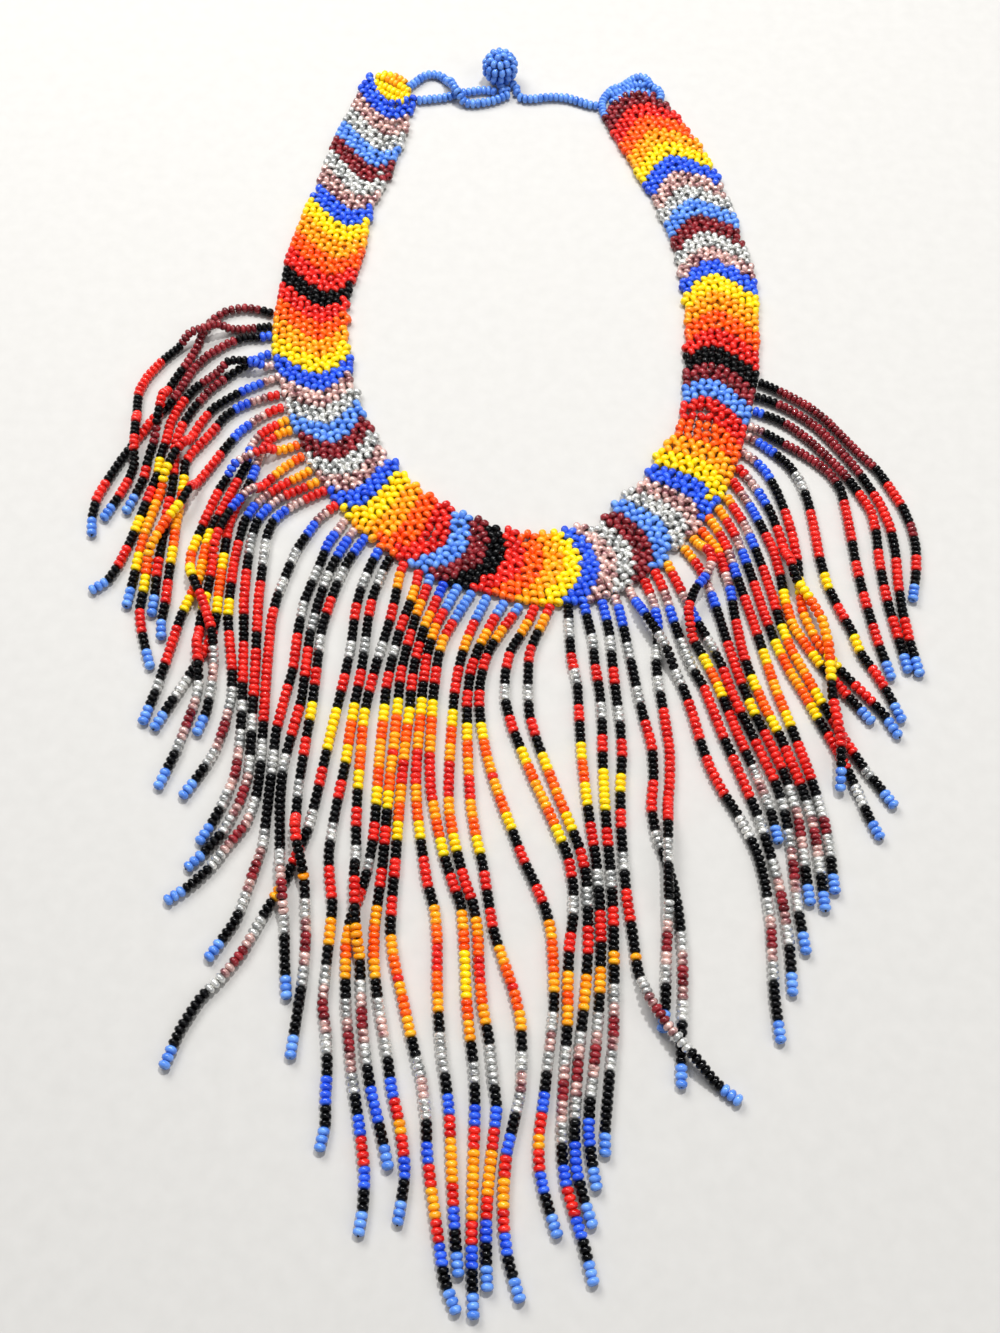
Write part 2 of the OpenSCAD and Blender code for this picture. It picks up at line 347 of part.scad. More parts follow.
module ball_string() {
    color("#5F93E8")
        string_of_beads(BALL_STRING, LOOPS_OUTLINE);
}

module clasp_ball() {
    ball = flat(BALL_AT);
    stem = flat(STEM_AT);
    color("#5F93E8")
        union() {
            translate([ball[0], ball[1], ball_d / 2])
                sphere(d = ball_d, $fn = 64);
            translate([stem[0], stem[1], STEM_Z])
                sphere(d = stem_d, $fn = 48);
        }
}

module fringe_left_1() {
    color("#2A1012")
        bunch("fringe_left_1");
}

module fringe_left_2() {
    color("#D23A1A")
        bunch("fringe_left_2");
}

module fringe_left_3() {
    color("#E8201C")
        bunch("fringe_left_3");
}

module fringe_left_4() {
    color("#E8201C")
        bunch("fringe_left_4");
}

module fringe_left_5() {
    color("#C8321E")
        bunch("fringe_left_5");
}

module fringe_left_6() {
    color("#C8321E")
        bunch("fringe_left_6");
}

module fringe_centre() {
    color("#C8321E")
        bunch("fringe_centre");
}

module fringe_right_6() {
    color("#C8321E")
        bunch("fringe_right_6");
}

module fringe_right_5() {
    color("#C8321E")
        bunch("fringe_right_5");
}

module fringe_right_4() {
    color("#C8321E")
        bunch("fringe_right_4");
}

module fringe_right_3() {
    color("#C8321E")
        bunch("fringe_right_3");
}

module fringe_right_2() {
    color("#C8321E")
        bunch("fringe_right_2");
}

module fringe_right_1() {
    color("#C8321E")
        bunch("fringe_right_1");
}

collar_band();
left_end_cap();
right_end_loops();
clasp_loop();
ball_string();
clasp_ball();
fringe_left_1();
fringe_left_2();
fringe_left_3();
fringe_left_4();
fringe_left_5();
fringe_left_6();
fringe_centre();
fringe_right_6();
fringe_right_5();
fringe_right_4();
fringe_right_3();
fringe_right_2();
fringe_right_1();
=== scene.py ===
"""Beaded bib necklace lying flat: netted collar, long beaded strands, ball and loop clasp.

Every bead is its own lathed ring of glass, and threads run through the net, the strands and the clasp's
strings. All tables are in millimetres on the maker's plan: X across the collar, Y from the tips of the
strands to the clasp, the table top at Z = 0.
"""
import math

import bpy
import numpy as np
from mathutils.kdtree import KDTree
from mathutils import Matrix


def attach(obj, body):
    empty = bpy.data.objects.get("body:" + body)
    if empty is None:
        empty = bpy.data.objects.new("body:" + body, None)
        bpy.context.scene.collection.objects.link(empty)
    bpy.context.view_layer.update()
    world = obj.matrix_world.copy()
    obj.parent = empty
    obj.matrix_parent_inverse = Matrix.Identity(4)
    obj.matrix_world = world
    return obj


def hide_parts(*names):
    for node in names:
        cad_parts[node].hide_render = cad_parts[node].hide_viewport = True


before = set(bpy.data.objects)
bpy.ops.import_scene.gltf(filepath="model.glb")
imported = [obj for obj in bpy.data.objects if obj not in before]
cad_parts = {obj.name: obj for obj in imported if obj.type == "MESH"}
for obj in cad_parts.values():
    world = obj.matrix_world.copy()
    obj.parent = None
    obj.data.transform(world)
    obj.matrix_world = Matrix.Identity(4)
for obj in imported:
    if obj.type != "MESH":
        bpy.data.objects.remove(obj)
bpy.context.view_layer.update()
rng = np.random.default_rng(54)

MM = 0.001
# The plan's zero isn't the middle of the necklace: this moves it there
PLAN_SHIFT = np.array([-0.9, 1.4])
# Height of the thread in a bead that lies on the table, and the climb over another strand
LIE_Z = 1.35
CROSS_LIFT = 2.6
# Spacing of the points of a route, and how many times its corners are eased
PATH_STEP = 0.25
EASE_ROUNDS = 24
# A bead's direction is that of the path from this far before it to this far after it
WAY_REACH = 0.4
# The knot beyond a string's last bead
END_KNOT = 0.2
# Room from a string's first bead to the beads that are already there, between their middles, how far
# along the string that room is looked for, and in what steps
ROOT_ROOM = 1.95
ROOT_REACH = 3.0
ROOT_STEP = 0.1

# Each bead colour: its slot name, the bead's diameter and the length it takes up on the thread
BEADS = {
    "R": ("glass_red", 2.55, 1.55),
    "O": ("glass_orange", 2.55, 1.55),
    "G": ("glass_amber", 2.55, 1.55),
    "Y": ("glass_yellow", 2.55, 1.55),
    "B": ("glass_blue", 2.50, 1.50),
    "L": ("glass_pale_blue", 2.50, 1.60),
    "C": ("glass_silver_lined", 2.50, 1.50),
    "K": ("glass_black", 2.40, 1.46),
    "P": ("glass_pink_lined", 2.40, 1.48),
    "M": ("glass_garnet", 2.44, 1.48),
}
# The net and the ball are of slightly smaller and longer beads than the strands
FINE = 0.97
FINE_ROOM = 1.74
# A bead is never wider than this, so that none stands proud of its strand
WIDEST = 2.60
# How much beads of one batch differ in width, as a share of it, and how much they tilt on the thread,
# with less of the tilt up and down
WIDTH_SPREAD = 0.022
TILT_SPREAD = 0.06
TILT_SHARES = (1, 1, 0.5)
# Half of a bead's length as a share of its room on the thread, and the most that a bead's own room may
# be stretched to fill a string
HALF_LENGTH = 0.485
MOST_STRETCH = 1.12

# The strands from the left round to the right: number, beads from root to tip, and the points of the
# route. A third value of 1 marks a point where the strand lies on top of another one.
STRANDS = [
    (1, "K2 M18 K4 R5 K3 M3 K4 R2 K3 L3",
     [(-58.8, 74.3), (-62, 75.9), (-68, 77.2), (-72.8, 76), (-76.3, 72.8), (-78.6, 68), (-79.3, 63.5),
      (-81.3, 58.5), (-83.9, 53.2), (-85.9, 48.2), (-86.3, 46, 1), (-86.8, 37.5, 1), (-87.4, 33),
      (-88.3, 27.5), (-88.7, 21), (-90.2, 16), (-92.3, 10)]),
    (2, "K3 M16 K5 R9 K4 R4 K3 R3 K6 R4 K2 L3",
     [(-59, 70.7), (-63, 70.2), (-67.5, 69.5), (-71.5, 69.5), (-74, 69.4, 1), (-81.5, 66.2, 1),
      (-84, 63.5), (-88, 59), (-91.5, 53.5), (-93.2, 48.5), (-93, 43), (-92.7, 40.5), (-92.2, 37.8, 1),
      (-91.7, 28.5, 1), (-91.5, 25.5), (-92.6, 20), (-94.5, 15), (-97.6, 8.2)]),
    (3, "B2 K4 M16 K3 R7 K8 R4 K3 L3",
     [(-59, 67.8), (-62.5, 66.8), (-67, 66.8), (-71.5, 64.7), (-76.5, 60.5), (-80, 55.5), (-82.3, 49.5),
      (-85, 43.5), (-88.5, 39.5), (-91.5, 33.5), (-94.5, 28), (-97.5, 21), (-99.8, 15), (-100.3, 9),
      (-99.6, 3.3)]),
    (4, "B4 K4 M6 K4 R9 K4 R5 K5 R3 K3 L3",
     [(-58.3, 62), (-62.5, 60), (-66.5, 57), (-70.5, 53.5), (-75, 48.7), (-78.5, 43), (-81, 37),
      (-82, 31), (-81.6, 26), (-81.3, 18), (-82, 10), (-82.2, 2), (-82.5, -6), (-82.3, -13),
      (-82.5, -19.7)]),
    (5, "P2 B3 K4 M6 K4 R10 K3 Y3 K3 R3 K3 Y3 K3 R4 K3 L3",
     [(-57, 58.3), (-61, 56.4), (-63.2, 56.5, 1), (-70.3, 56.8, 1), (-73.2, 54.8), (-78.7, 49.7),
      (-82, 43.7), (-84, 38), (-84.3, 33), (-85.3, 28), (-85.4, 22), (-87, 15), (-88.5, 8), (-90, 1.5),
      (-92, -5), (-94, -9.5), (-98.2, -12.7)]),
    (6, "P3 B4 K6 R9 K3 Y3 O3 G6 O3 Y3 K3 L3",
     [(-55.5, 54.3), (-60, 52), (-65, 49.5), (-70, 46), (-73.5, 43), (-76.5, 37.5), (-78.2, 32.9),
      (-79.3, 30.4, 1), (-81.4, 26.8, 1), (-83.2, 20.4, 1), (-83.9, 17.4), (-85.5, 10), (-86.7, 4),
      (-87.5, -3), (-87.9, -9), (-88.8, -17.3)]),
    (7, "R2 P3 B3 K4 R8 K3 Y3 O3 G4 O3 Y3 K3 R4 K3 L3",
     [(-54.3, 47.7), (-58, 47.2), (-62, 45.7), (-66.5, 43.7), (-70.3, 40.3), (-72.5, 36), (-75.5, 31.5),
      (-78, 28), (-79, 25), (-78.6, 20.5), (-78.8, 15), (-79.3, 6), (-79.3, 0), (-79.5, -6),
      (-79.5, -16), (-80, -21), (-79.4, -26)]),
    (8, "R3 P3 B4 K3 R9 K3 Y3 O3 G4 O3 Y3 K3 R4 K3 L3",
     [(-54, 43.7), (-58, 42.3), (-62, 39.3), (-66, 35.5), (-69, 30.5), (-72.5, 24), (-75.3, 19),
      (-76.3, 16.6, 1), (-78, 12, 1), (-81.5, 6, 1), (-84.3, -1.5, 1), (-85.1, -4.8), (-85.1, -11),
      (-85.5, -18), (-84.5, -23), (-83, -28), (-81, -34)]),
    (9, "G2 R4 P3 B3 K4 R8 K3 Y3 O3 G4 O3 Y3 K3 R7 K3 C2 K3 L3",
     [(-52.5, 40.5), (-55, 38.5), (-58.5, 36.5), (-61.5, 33.5), (-63, 29.5), (-63.5, 25), (-65, 20.5),
      (-67.5, 13.5), (-69.5, 8), (-71, 3), (-71.7, -4), (-72.1, -9), (-73.7, -14), (-75.3, -19),
      (-76.6, -26), (-77.9, -33), (-79.3, -40), (-81.5, -48.5)]),
    (10, "G3 R4 P3 B3 K4 R8 K3 Y3 O5 Y3 K3 R6 K3 C4 K3 L3",
     [(-51, 36.3), (-55, 35.3), (-58.5, 32.5), (-60.3, 28), (-61, 23.5), (-62.5, 18), (-65, 12),
      (-66.3, 6), (-66.7, -2), (-67, -12), (-67, -20), (-67.7, -26), (-70, -31.5), (-72.5, -37),
      (-75.5, -43), (-78.8, -50)]),
    (11, "O1 G3 R4 P3 B3 K3 R7 K2 Y3 O3 Y3 K3 R7 K3 C3 P3 C3 K3 L3",
     [(-49, 32), (-53.5, 30), (-55.9, 29.2), (-58, 28.5, 1), (-63.3, 25.6, 1), (-66, 23.5, 1),
      (-68, 20.8), (-69.5, 17.5), (-71.5, 11), (-73.1, 5), (-74.8, -2), (-74.6, -5.3), (-74, -8, 1),
      (-72.6, -11.3, 1), (-70.4, -16, 1), (-67.4, -24, 1), (-66.5, -28.8, 1), (-66.4, -31.6),
      (-66.4, -38), (-66.9, -45), (-68.9, -51.3)]),
    (12, "O2 G4 R4 P3 B3 K4 R8 K3 Y3 K3 R7 K3 C3 P2 M3 P2 C2 K3 L3",
     [(-47, 29), (-50.5, 27), (-54, 24), (-57, 20.5), (-59.4, 17.7), (-61, 16, 1), (-63.3, 13.5, 1),
      (-65.6, 9.8, 1), (-67.7, 5, 1), (-68.9, -0.6, 1), (-69.2, -3.6), (-69.7, -12), (-70.7, -20),
      (-70.7, -25), (-70.5, -27.8, 1), (-69.4, -35, 1), (-69.4, -37.6), (-69.7, -42), (-71.1, -48),
      (-73.2, -56), (-76.3, -64.8)]),
    (13, "G4 R4 P3 B3 K5 R8 K3 Y3 K3 R7 K3 C4 P2 M3 P2 C3 K3 L3",
     [(-45.5, 24.5), (-49.5, 21.5), (-53.5, 19), (-57, 16), (-60.3, 12.9), (-62.5, 8), (-63.4, 2),
      (-64.1, -5), (-64.3, -13), (-64.2, -20), (-63, -28), (-62, -34), (-61.5, -41), (-62.5, -49),
      (-64, -55), (-67, -61), (-70.7, -67)]),
    (14, "G2 R4 P3 B3 K3 C4 K3 R8 K5 R7 K3 C2 K3 C3 P2 M3 P2 C3 K3 L3",
     [(-43, 21), (-46.5, 19), (-50, 17), (-53.5, 15.3), (-57, 12), (-59.3, 8.3), (-60.4, 3),
      (-60.8, -5), (-60.8, -15), (-60, -25), (-59.4, -35), (-58.9, -43), (-58.7, -53), (-59, -61),
      (-60.8, -67), (-62.7, -72), (-65.8, -78)]),
    (15, "R4 P3 B3 K4 C5 K3 R9 K3 R8 K3 C3 K4 C3 P2 M3 P2 C3 K4 L3",
     [(-41.5, 17.8), (-45.5, 15.8), (-49.5, 13.3), (-52.8, 11), (-55.5, 8), (-56.8, 3), (-57, -4),
      (-57.3, -14), (-57, -24), (-56.6, -34), (-56.4, -44), (-56.1, -54), (-56.1, -62), (-57.5, -68),
      (-60.5, -75), (-64.3, -80), (-68, -84)]),
    (16, "R2 P3 B3 K3 C3 K3 C3 K3 R20 K3 C4 K6 C3 P2 M3 P2 C3 K5 L3",
     [(-38.3, 14), (-41, 12), (-44.3, 8.5), (-46.8, 4), (-49.3, -1), (-51, -7), (-52.8, -13.5),
      (-53.8, -20), (-53.9, -30), (-53.8, -40), (-53.6, -50), (-53.5, -60), (-53.8, -66), (-55.5, -73),
      (-59, -78), (-63, -84), (-67, -88), (-71.8, -91.5)]),
    (17, "P3 B4 K3 C3 K4 C3 K3 R6 K3 R7 K4 C4 K9 C3 P2 M3 P2 C3 K5 L3",
     [(-36.3, 10.8), (-38.8, 6), (-41.5, 1.5), (-43, -4), (-44.8, -10), (-46.5, -16), (-47.3, -24),
      (-47.8, -34), (-49.3, -42), (-50.6, -50), (-50.9, -60), (-51.2, -70), (-51.5, -78), (-53, -84),
      (-54.5, -90), (-56, -95.5), (-59, -100.5), (-61.5, -104.5)]),
    (18, "P2 B4 K3 C3 K5 C3 K3 R5 K5 R5 K3 C3 K13 C3 P2 M3 P2 C3 K6 L3",
     [(-33.8, 8), (-36, 4), (-38.5, -1), (-41.2, -8), (-43, -16), (-44.4, -24), (-44.8, -33),
      (-45.3, -42), (-47, -51), (-48.4, -59), (-48.5, -67), (-48, -75), (-47.7, -79.3),
      (-47.3, -82.2, 1), (-46, -92, 1), (-45.7, -95), (-44.8, -106), (-44, -113)]),
    (19, "B4 K3 C3 K3 R3 K4 C3 K3 R3 K3 Y3 K3 R3 K4 C3 K3 R5 K5 G1 K3 C3 P2 M3 P2 C3 K7 L3",
     [(-31, 5.5), (-34, 0.5), (-36.5, -4), (-38.6, -10), (-40.2, -16), (-41.7, -23), (-42.2, -32),
      (-42.7, -43), (-43.7, -53), (-44.6, -64), (-44.7, -71.3), (-44.5, -74, 1), (-44, -78, 1),
      (-42.3, -84, 1), (-41.8, -87.3), (-40.8, -99), (-40.8, -107), (-41.5, -115), (-42.5, -125.5)]),
    (20, "B2 K3 C3 K3 R3 K4 C3 K3 R3 K3 Y7 K3 R3 K4 C3 K3 R3 K4 G2 K3 C3 P2 M3 P2 C3 K9 L3",
     [(-27.8, 2), (-30.5, -4), (-32.8, -11), (-34, -18), (-34.5, -27), (-35.5, -35), (-36.8, -43),
      (-38, -50), (-39.2, -58), (-40.5, -67), (-42, -75), (-44, -80.5), (-45.8, -86), (-48.3, -90.5),
      (-51, -96), (-54, -102.5), (-57.5, -107.5), (-62, -112.5), (-65.5, -119), (-68.3, -127.5)]),
    (21, "K3 C3 K3 R3 K4 C3 K3 R3 K3 Y3 O4 Y3 K3 R3 K4 C3 K4 R5 K3 G4 K3 C3 P2 M3 P2 C3 K3 B4 K3 L3",
     [(-24.8, -0.5), (-27, -4.5), (-28.5, -9), (-30, -14), (-30.8, -20), (-31.3, -28), (-31.9, -35),
      (-33, -43), (-33.7, -50), (-34.3, -58), (-35.5, -66), (-36.5, -74), (-37, -80), (-36.5, -86),
      (-35.5, -92), (-35.8, -99), (-36.2, -107), (-36.5, -114), (-35.3, -120), (-34.7, -127),
      (-34.8, -133), (-34.4, -138), (-35.5, -144)]),
    (22, "R2 G3 K3 R3 K4 C3 K3 R3 K3 Y3 O3 G1 O3 Y3 K3 R3 K3 C3 K3 R4 K3 G5 K3 C2 P2 M3 "
         "P2 C3 K3 B5 K3 L3",
     [(-22.3, -3), (-23.8, -8), (-24.5, -14), (-25.5, -20), (-27, -26.5), (-28.3, -32), (-29.8, -40),
      (-30.8, -47), (-31, -55), (-31.3, -64), (-31.3, -73), (-30.9, -81.3), (-31, -84.2, 1),
      (-30.3, -96, 1), (-29.7, -100.2, 1), (-29.2, -103.2), (-28.6, -111), (-28, -118), (-27, -125),
      (-25.6, -132), (-23.6, -139), (-22.3, -144), (-21.5, -147.5)]),
    (23, "R3 G3 K3 R3 K3 C2 K3 R3 K3 Y3 O3 G5 O3 Y3 K3 R3 K3 C2 K3 R3 K3 G3 O2 G3 K3 C3 "
         "P2 M3 P3 C3 K3 B3 R4 B3 K3 L3",
     [(-19, -5.5), (-19.5, -10), (-20.9, -15.5), (-23, -22.5), (-24.7, -31), (-25.8, -38), (-26.2, -46),
      (-26.7, -55), (-26.9, -63), (-27.1, -71), (-27.4, -77), (-28.3, -84), (-29.8, -90), (-31.5, -95),
      (-32.2, -101), (-32, -108), (-31.5, -115), (-30.7, -121), (-29.8, -128), (-28.6, -134),
      (-27.3, -141), (-26.2, -148), (-26.2, -154), (-27, -160)]),
    (24, "L2 R3 G3 K3 R3 K4 R3 K3 Y3 O3 G3 R1 G3 O3 Y3 K3 R3 K4 R3 K3 G3 O5 G3 K3 C3 P3 "
         "C3 K3 B3 R3 G2 R3 B3 K3 L3",
     [(-16, -6.5), (-17, -11.5), (-19.1, -18), (-21.2, -27), (-22.6, -35), (-23, -43), (-23.5, -52),
      (-24.2, -62), (-24.6, -72), (-25, -82), (-25.6, -89), (-26.3, -97), (-26.2, -104), (-25.3, -111),
      (-24, -118), (-22.5, -125), (-21.5, -131.5), (-19.7, -138), (-18.5, -145), (-18.2, -148.5),
      (-18.9, -154), (-19.5, -158)]),
    (25, "B3 R3 G3 K3 R3 K3 R3 K3 Y3 O3 G3 R4 G3 O3 Y3 K3 R3 K3 R3 K3 G3 O3 R1 G2 O3 G3 "
         "K3 C3 P3 C3 K3 B3 R3 G4 R3 B3 K3 L3",
     [(-12.3, -8.5), (-14, -13), (-15.5, -17.5), (-17.2, -21.5), (-18.4, -27), (-19.4, -32), (-20, -38),
      (-20.2, -44), (-20.9, -52), (-21.4, -60), (-21.9, -70), (-22.2, -80), (-22.7, -90), (-22.9, -98),
      (-22, -104), (-20, -112), (-17.5, -122), (-15.5, -129), (-14.3, -137), (-14, -144), (-13, -151),
      (-11.5, -160), (-10.1, -168), (-7.6, -174)]),
    (26, "L5 R3 G3 K3 R5 K3 Y3 O3 G3 R6 G3 O3 Y3 K3 R5 K3 G3 O3 R4 O3 G3 K3 C6 K3 B3 R3 G6 R3 B3 K3 L3",
     [(-9.5, -11), (-12.5, -17.5), (-14.5, -21.5), (-15.8, -26.5), (-16.7, -31), (-17.4, -38.5),
      (-17.7, -46), (-18.1, -53), (-18.4, -62), (-17.9, -70), (-16.8, -78), (-15.3, -87), (-13.5, -93),
      (-12.8, -100), (-12.7, -108), (-12.3, -116), (-11.5, -124), (-10.5, -130), (-9.8, -135),
      (-9.4, -141), (-9, -148), (-8.5, -156), (-8, -162), (-7.4, -167.5)]),
    (27, "L6 R3 G3 K3 R3 K3 Y3 O3 G3 R8 G3 O3 Y3 K3 R3 K3 G3 O3 Y7 O3 G3 K3 C3 K3 B3 R3 G9 R3 B3 K3 L3",
     [(-6, -12.5), (-8.5, -17), (-10.8, -21.5), (-13, -26), (-14, -31), (-14.5, -36), (-15, -43),
      (-15.2, -50), (-15.4, -57), (-15, -65), (-13.3, -74), (-11.7, -81), (-9.8, -87), (-7.9, -92),
      (-7.3, -98), (-6.9, -105), (-6.5, -113), (-5.8, -120), (-4.8, -127), (-4.5, -134), (-4.7, -143),
      (-4.9, -152), (-5, -160), (-4.8, -168), (-4.5, -175)]),
    (28, "L5 R3 G3 K3 R5 K3 Y3 O3 G3 R6 G3 O3 Y3 K3 R5 K3 G3 O3 R4 O3 G3 K3 C6 K3 B3 R3 G6 R3 B3 K3 L3",
     [(-2.3, -13.5), (-4.2, -18), (-5.7, -21.5), (-7.3, -26), (-8.4, -30), (-9.2, -34), (-10, -40),
      (-10.4, -47), (-10.8, -55), (-11, -64), (-10.8, -70), (-9.8, -76), (-8.4, -82), (-7, -87),
      (-5.2, -92), (-4.2, -98), (-3.9, -106), (-3.2, -114), (-1.6, -122), (-0.9, -129), (-0.1, -135),
      (-0.9, -142), (-1.8, -150), (-2.2, -158), (-2.1, -165), (-1.9, -170)]),
    (29, "L3 R3 G3 K3 R3 K3 R3 K3 Y3 O3 G3 R4 G3 O3 Y3 K3 R3 K3 R3 K3 G3 O3 R1 O3 G3 K3 "
         "C3 P3 C3 K3 B3 R3 G4 R3 B3 K3 L3",
     [(1.7, -15.5), (-0.3, -19), (-2.4, -23.5), (-4.6, -28.5), (-6.3, -34), (-7.1, -42), (-7, -50),
      (-6.6, -60), (-6, -69), (-4.8, -76), (-3.2, -83), (-2, -91), (-0.9, -98), (1.2, -104.5),
      (3.4, -111), (4.8, -117), (5.1, -125), (4.7, -132), (3.3, -138), (1.8, -144), (1.2, -151),
      (1.2, -158), (2, -164), (4.5, -172)]),
    (30, "L2 R3 G3 K3 R3 K4 R3 K3 Y3 O3 G3 R1 G3 O3 Y3 K3 R3 K4 R3 K3 G3 O5 G3 K3 C3 P3 "
         "C3 K3 B3 R3 G2 R3 B3 K3 L3",
     [(5.3, -16.5), (3.5, -19.5), (0.9, -23.5), (-1.4, -27.5), (-3.1, -32), (-4.1, -37.5), (-4.3, -43),
      (-3.8, -49), (-2.6, -56), (-0.8, -63), (1.2, -69), (3.3, -75), (5.5, -81.5), (8, -87),
      (10.3, -93), (11.4, -98), (11.8, -106), (11.8, -114), (11.1, -120), (10.2, -127), (9.3, -134),
      (8.2, -141), (8.2, -147), (9.2, -152), (11.8, -160.3)]),
    (31, "R3 G3 K4 R3 K3 C3 K3 R3 K3 Y3 O3 G5 O3 Y3 K3 R3 K3 C3 K3 R3 K3 G3 O2 G3 K3 C3 "
         "P2 M3 P3 C3 K3 B3 R4 B3 K3 L3",
     [(9, -16.3), (7.7, -20), (5.2, -25), (2.9, -29), (1.7, -35), (1.6, -42), (3.2, -49), (5.5, -55.5),
      (8.3, -63), (10.8, -69), (13.2, -75), (15.4, -81), (16.4, -88), (16.2, -95), (15.3, -100.5),
      (14.8, -108), (14.5, -118), (13.6, -128), (12.9, -137), (12.8, -145), (13.5, -150.5),
      (15.1, -156), (16.9, -162), (18.5, -169)]),
    (32, "R2 G3 K3 R3 K4 C3 K3 R3 K3 Y3 O3 G1 O3 Y3 K3 R3 K3 C3 K3 R4 K3 G5 K3 C2 P2 M3 "
         "P2 C3 K3 B5 K3 L3",
     [(12.7, -16.3), (11, -20.5), (8.8, -25.5), (7.3, -30), (7, -38), (7.2, -46), (9, -53), (11.3, -60),
      (13.7, -67), (15.9, -73), (18, -79), (19.2, -85), (19.4, -93), (19.2, -102), (18.5, -110),
      (17.5, -118), (16.5, -126), (15.8, -134), (15.4, -141), (15.6, -147.5), (16.8, -152.5),
      (18.7, -158.5)]),
    (33, "K3 C4 K3 R3 C3 K4 R3 K4 Y3 O4 Y4 K3 R4 K4 C3 K4 R5 K4 G4 K3 C3 P2 M3 P2 C3 K3 B4 K3 L3",
     [(16.8, -16.3), (16.9, -24), (17.2, -31), (18.5, -38), (18.7, -48), (19, -57), (19.7, -66),
      (20.5, -74), (21.5, -82), (22, -91), (22, -101), (21.5, -110), (20.7, -119), (19.7, -127),
      (18.7, -134), (18.2, -140), (18.6, -145), (19.6, -151.5)]),
    (34, "B2 K4 C3 K3 R3 K4 C3 K3 R3 K3 Y7 K3 R3 K4 C3 K3 R3 K4 G2 K3 C3 P2 M3 P2 C3 K9 L3",
     [(20.5, -15.3), (21.2, -20), (22.4, -26), (22.7, -33), (23.6, -40), (23.9, -48), (23.7, -57),
      (23.8, -66), (24.1, -76), (24.7, -86), (24.8, -96), (24.6, -105), (24.3, -114), (23.9, -121),
      (22.9, -128), (22.2, -134), (21.5, -140), (21.4, -145)]),
    (35, "B4 K3 C3 K3 R3 K4 C3 K3 R3 K3 Y3 K3 R3 K4 C3 K3 R5 K5 G1 K3 C3 P2 M3 P2 C3 K7 L3",
     [(24.4, -13.5), (25.3, -17.5), (26.4, -24), (26.8, -32), (27.3, -40), (28, -48), (28.2, -56),
      (27.4, -65), (27.2, -74), (27.5, -83), (27.9, -91), (28.8, -99), (29.5, -107), (31.5, -113.5, 1),
      (35.5, -120, 1), (40, -125.5, 1), (44.5, -130.5), (49.3, -134.3)]),
    (36, "P2 B4 K3 C3 K5 C3 K3 R5 K5 R5 K3 C3 K13 C3 P2 M3 P2 C3 K6 L3",
     [(27.6, -12.3), (28.8, -17), (30, -24), (31, -31), (32.2, -39), (33.3, -46), (35, -54),
      (35.1, -61), (34.1, -69), (34.8, -75.5), (36.3, -80.5), (37.9, -86.5), (38.8, -93), (39.2, -101),
      (38.9, -109), (38.3, -117), (37.6, -124), (37.3, -131.5)]),
    (37, "P3 B4 K4 C3 K4 C3 K3 R7 K3 R7 K4 C4 K10 C3 P2 M3 P2 C3 K6 L3",
     [(31, -9.3), (32, -14), (34.3, -19.5, 1), (37, -24.5, 1), (39.5, -30, 1), (41.5, -35), (43.3, -40),
      (45, -47), (46.3, -54), (48, -60), (50.3, -65.5), (53, -70.5), (55.2, -75.5), (57, -81),
      (58, -88), (58.4, -96), (58.1, -104), (57.8, -112), (58.3, -122.3)]),
    (38, "R3 P3 B4 K3 C3 K3 C3 K3 R20 K3 C4 K6 C3 P2 M3 P2 C3 K4 L3",
     [(34.4, -6.5), (35.8, -11), (37.3, -16), (38, -22), (37.6, -27), (37, -32), (37.3, -38),
      (38.2, -46), (39, -55), (38.6, -63), (37.9, -68), (37.4, -73.5, 1), (36.9, -83, 1),
      (36.6, -92, 1), (36.3, -97), (35.8, -102), (35.3, -109), (34.9, -115), (33.9, -120)]),
    (39, "R4 P3 B3 K3 C6 K3 R9 K3 R7 K3 C3 K4 C3 P2 M3 P2 C3 K4 L3",
     [(37, -4.8), (38.8, -9), (40.3, -14), (41.5, -20), (43.3, -27), (45.3, -33.5), (47.7, -38.5),
      (49.5, -45), (51.3, -51.5), (53.5, -58), (56, -66), (57.9, -72), (59.4, -79), (60.7, -86),
      (61.5, -93), (61.9, -101), (61.8, -107), (61.6, -112.3)]),
    (40, "G2 R4 P3 B3 K3 C3 K3 R8 K5 R7 K3 C2 K3 C3 P2 M3 P2 C3 K3 L3",
     [(40.2, -1.5), (41.5, -6), (43.3, -10.5), (45.3, -16), (47.5, -21.5), (50, -27), (52.3, -33),
      (53.8, -39), (55.7, -45), (57.9, -51), (60, -57), (62.2, -63), (63.6, -69.5), (64.3, -77),
      (64.4, -85), (64.5, -93), (65.4, -103.3)]),
    (41, "G3 R4 P3 B3 K7 R8 K3 Y3 K3 R7 K3 C4 P2 M3 P2 C3 K3 L3",
     [(44, 1.8), (46.4, -1.7), (48.9, -6), (50.9, -12), (52.7, -20), (54.5, -29), (56.5, -37.5),
      (58.7, -45), (61, -51), (63.5, -58), (65.2, -64), (66.5, -71), (66.9, -79), (67, -86),
      (67.3, -92.3)]),
    (42, "G4 R4 P3 B3 K4 R8 K3 Y3 O3 Y3 K3 R8 K3 C3 P3 C3 K3 L3",
     [(46.3, 5), (48.9, 1), (51.4, -2.6, 1), (51.6, -6, 1), (49.8, -10, 1), (47, -13.4, 1),
      (45, -19, 1), (45.2, -22, 1), (45.8, -25.5), (48.3, -31), (50.9, -38), (52.8, -44.5), (55, -52),
      (58, -61), (60.5, -69.5), (61.8, -78)]),
    (43, "O2 G4 R4 P3 B3 K4 R8 K3 Y3 O5 Y3 K3 R7 K3 C3 P2 M3 P2 C3 K3 L3",
     [(48.2, 7.9), (50.8, 3.8), (53.6, -0.5), (54.7, -6), (55.9, -12.5), (56.4, -20), (57.4, -29),
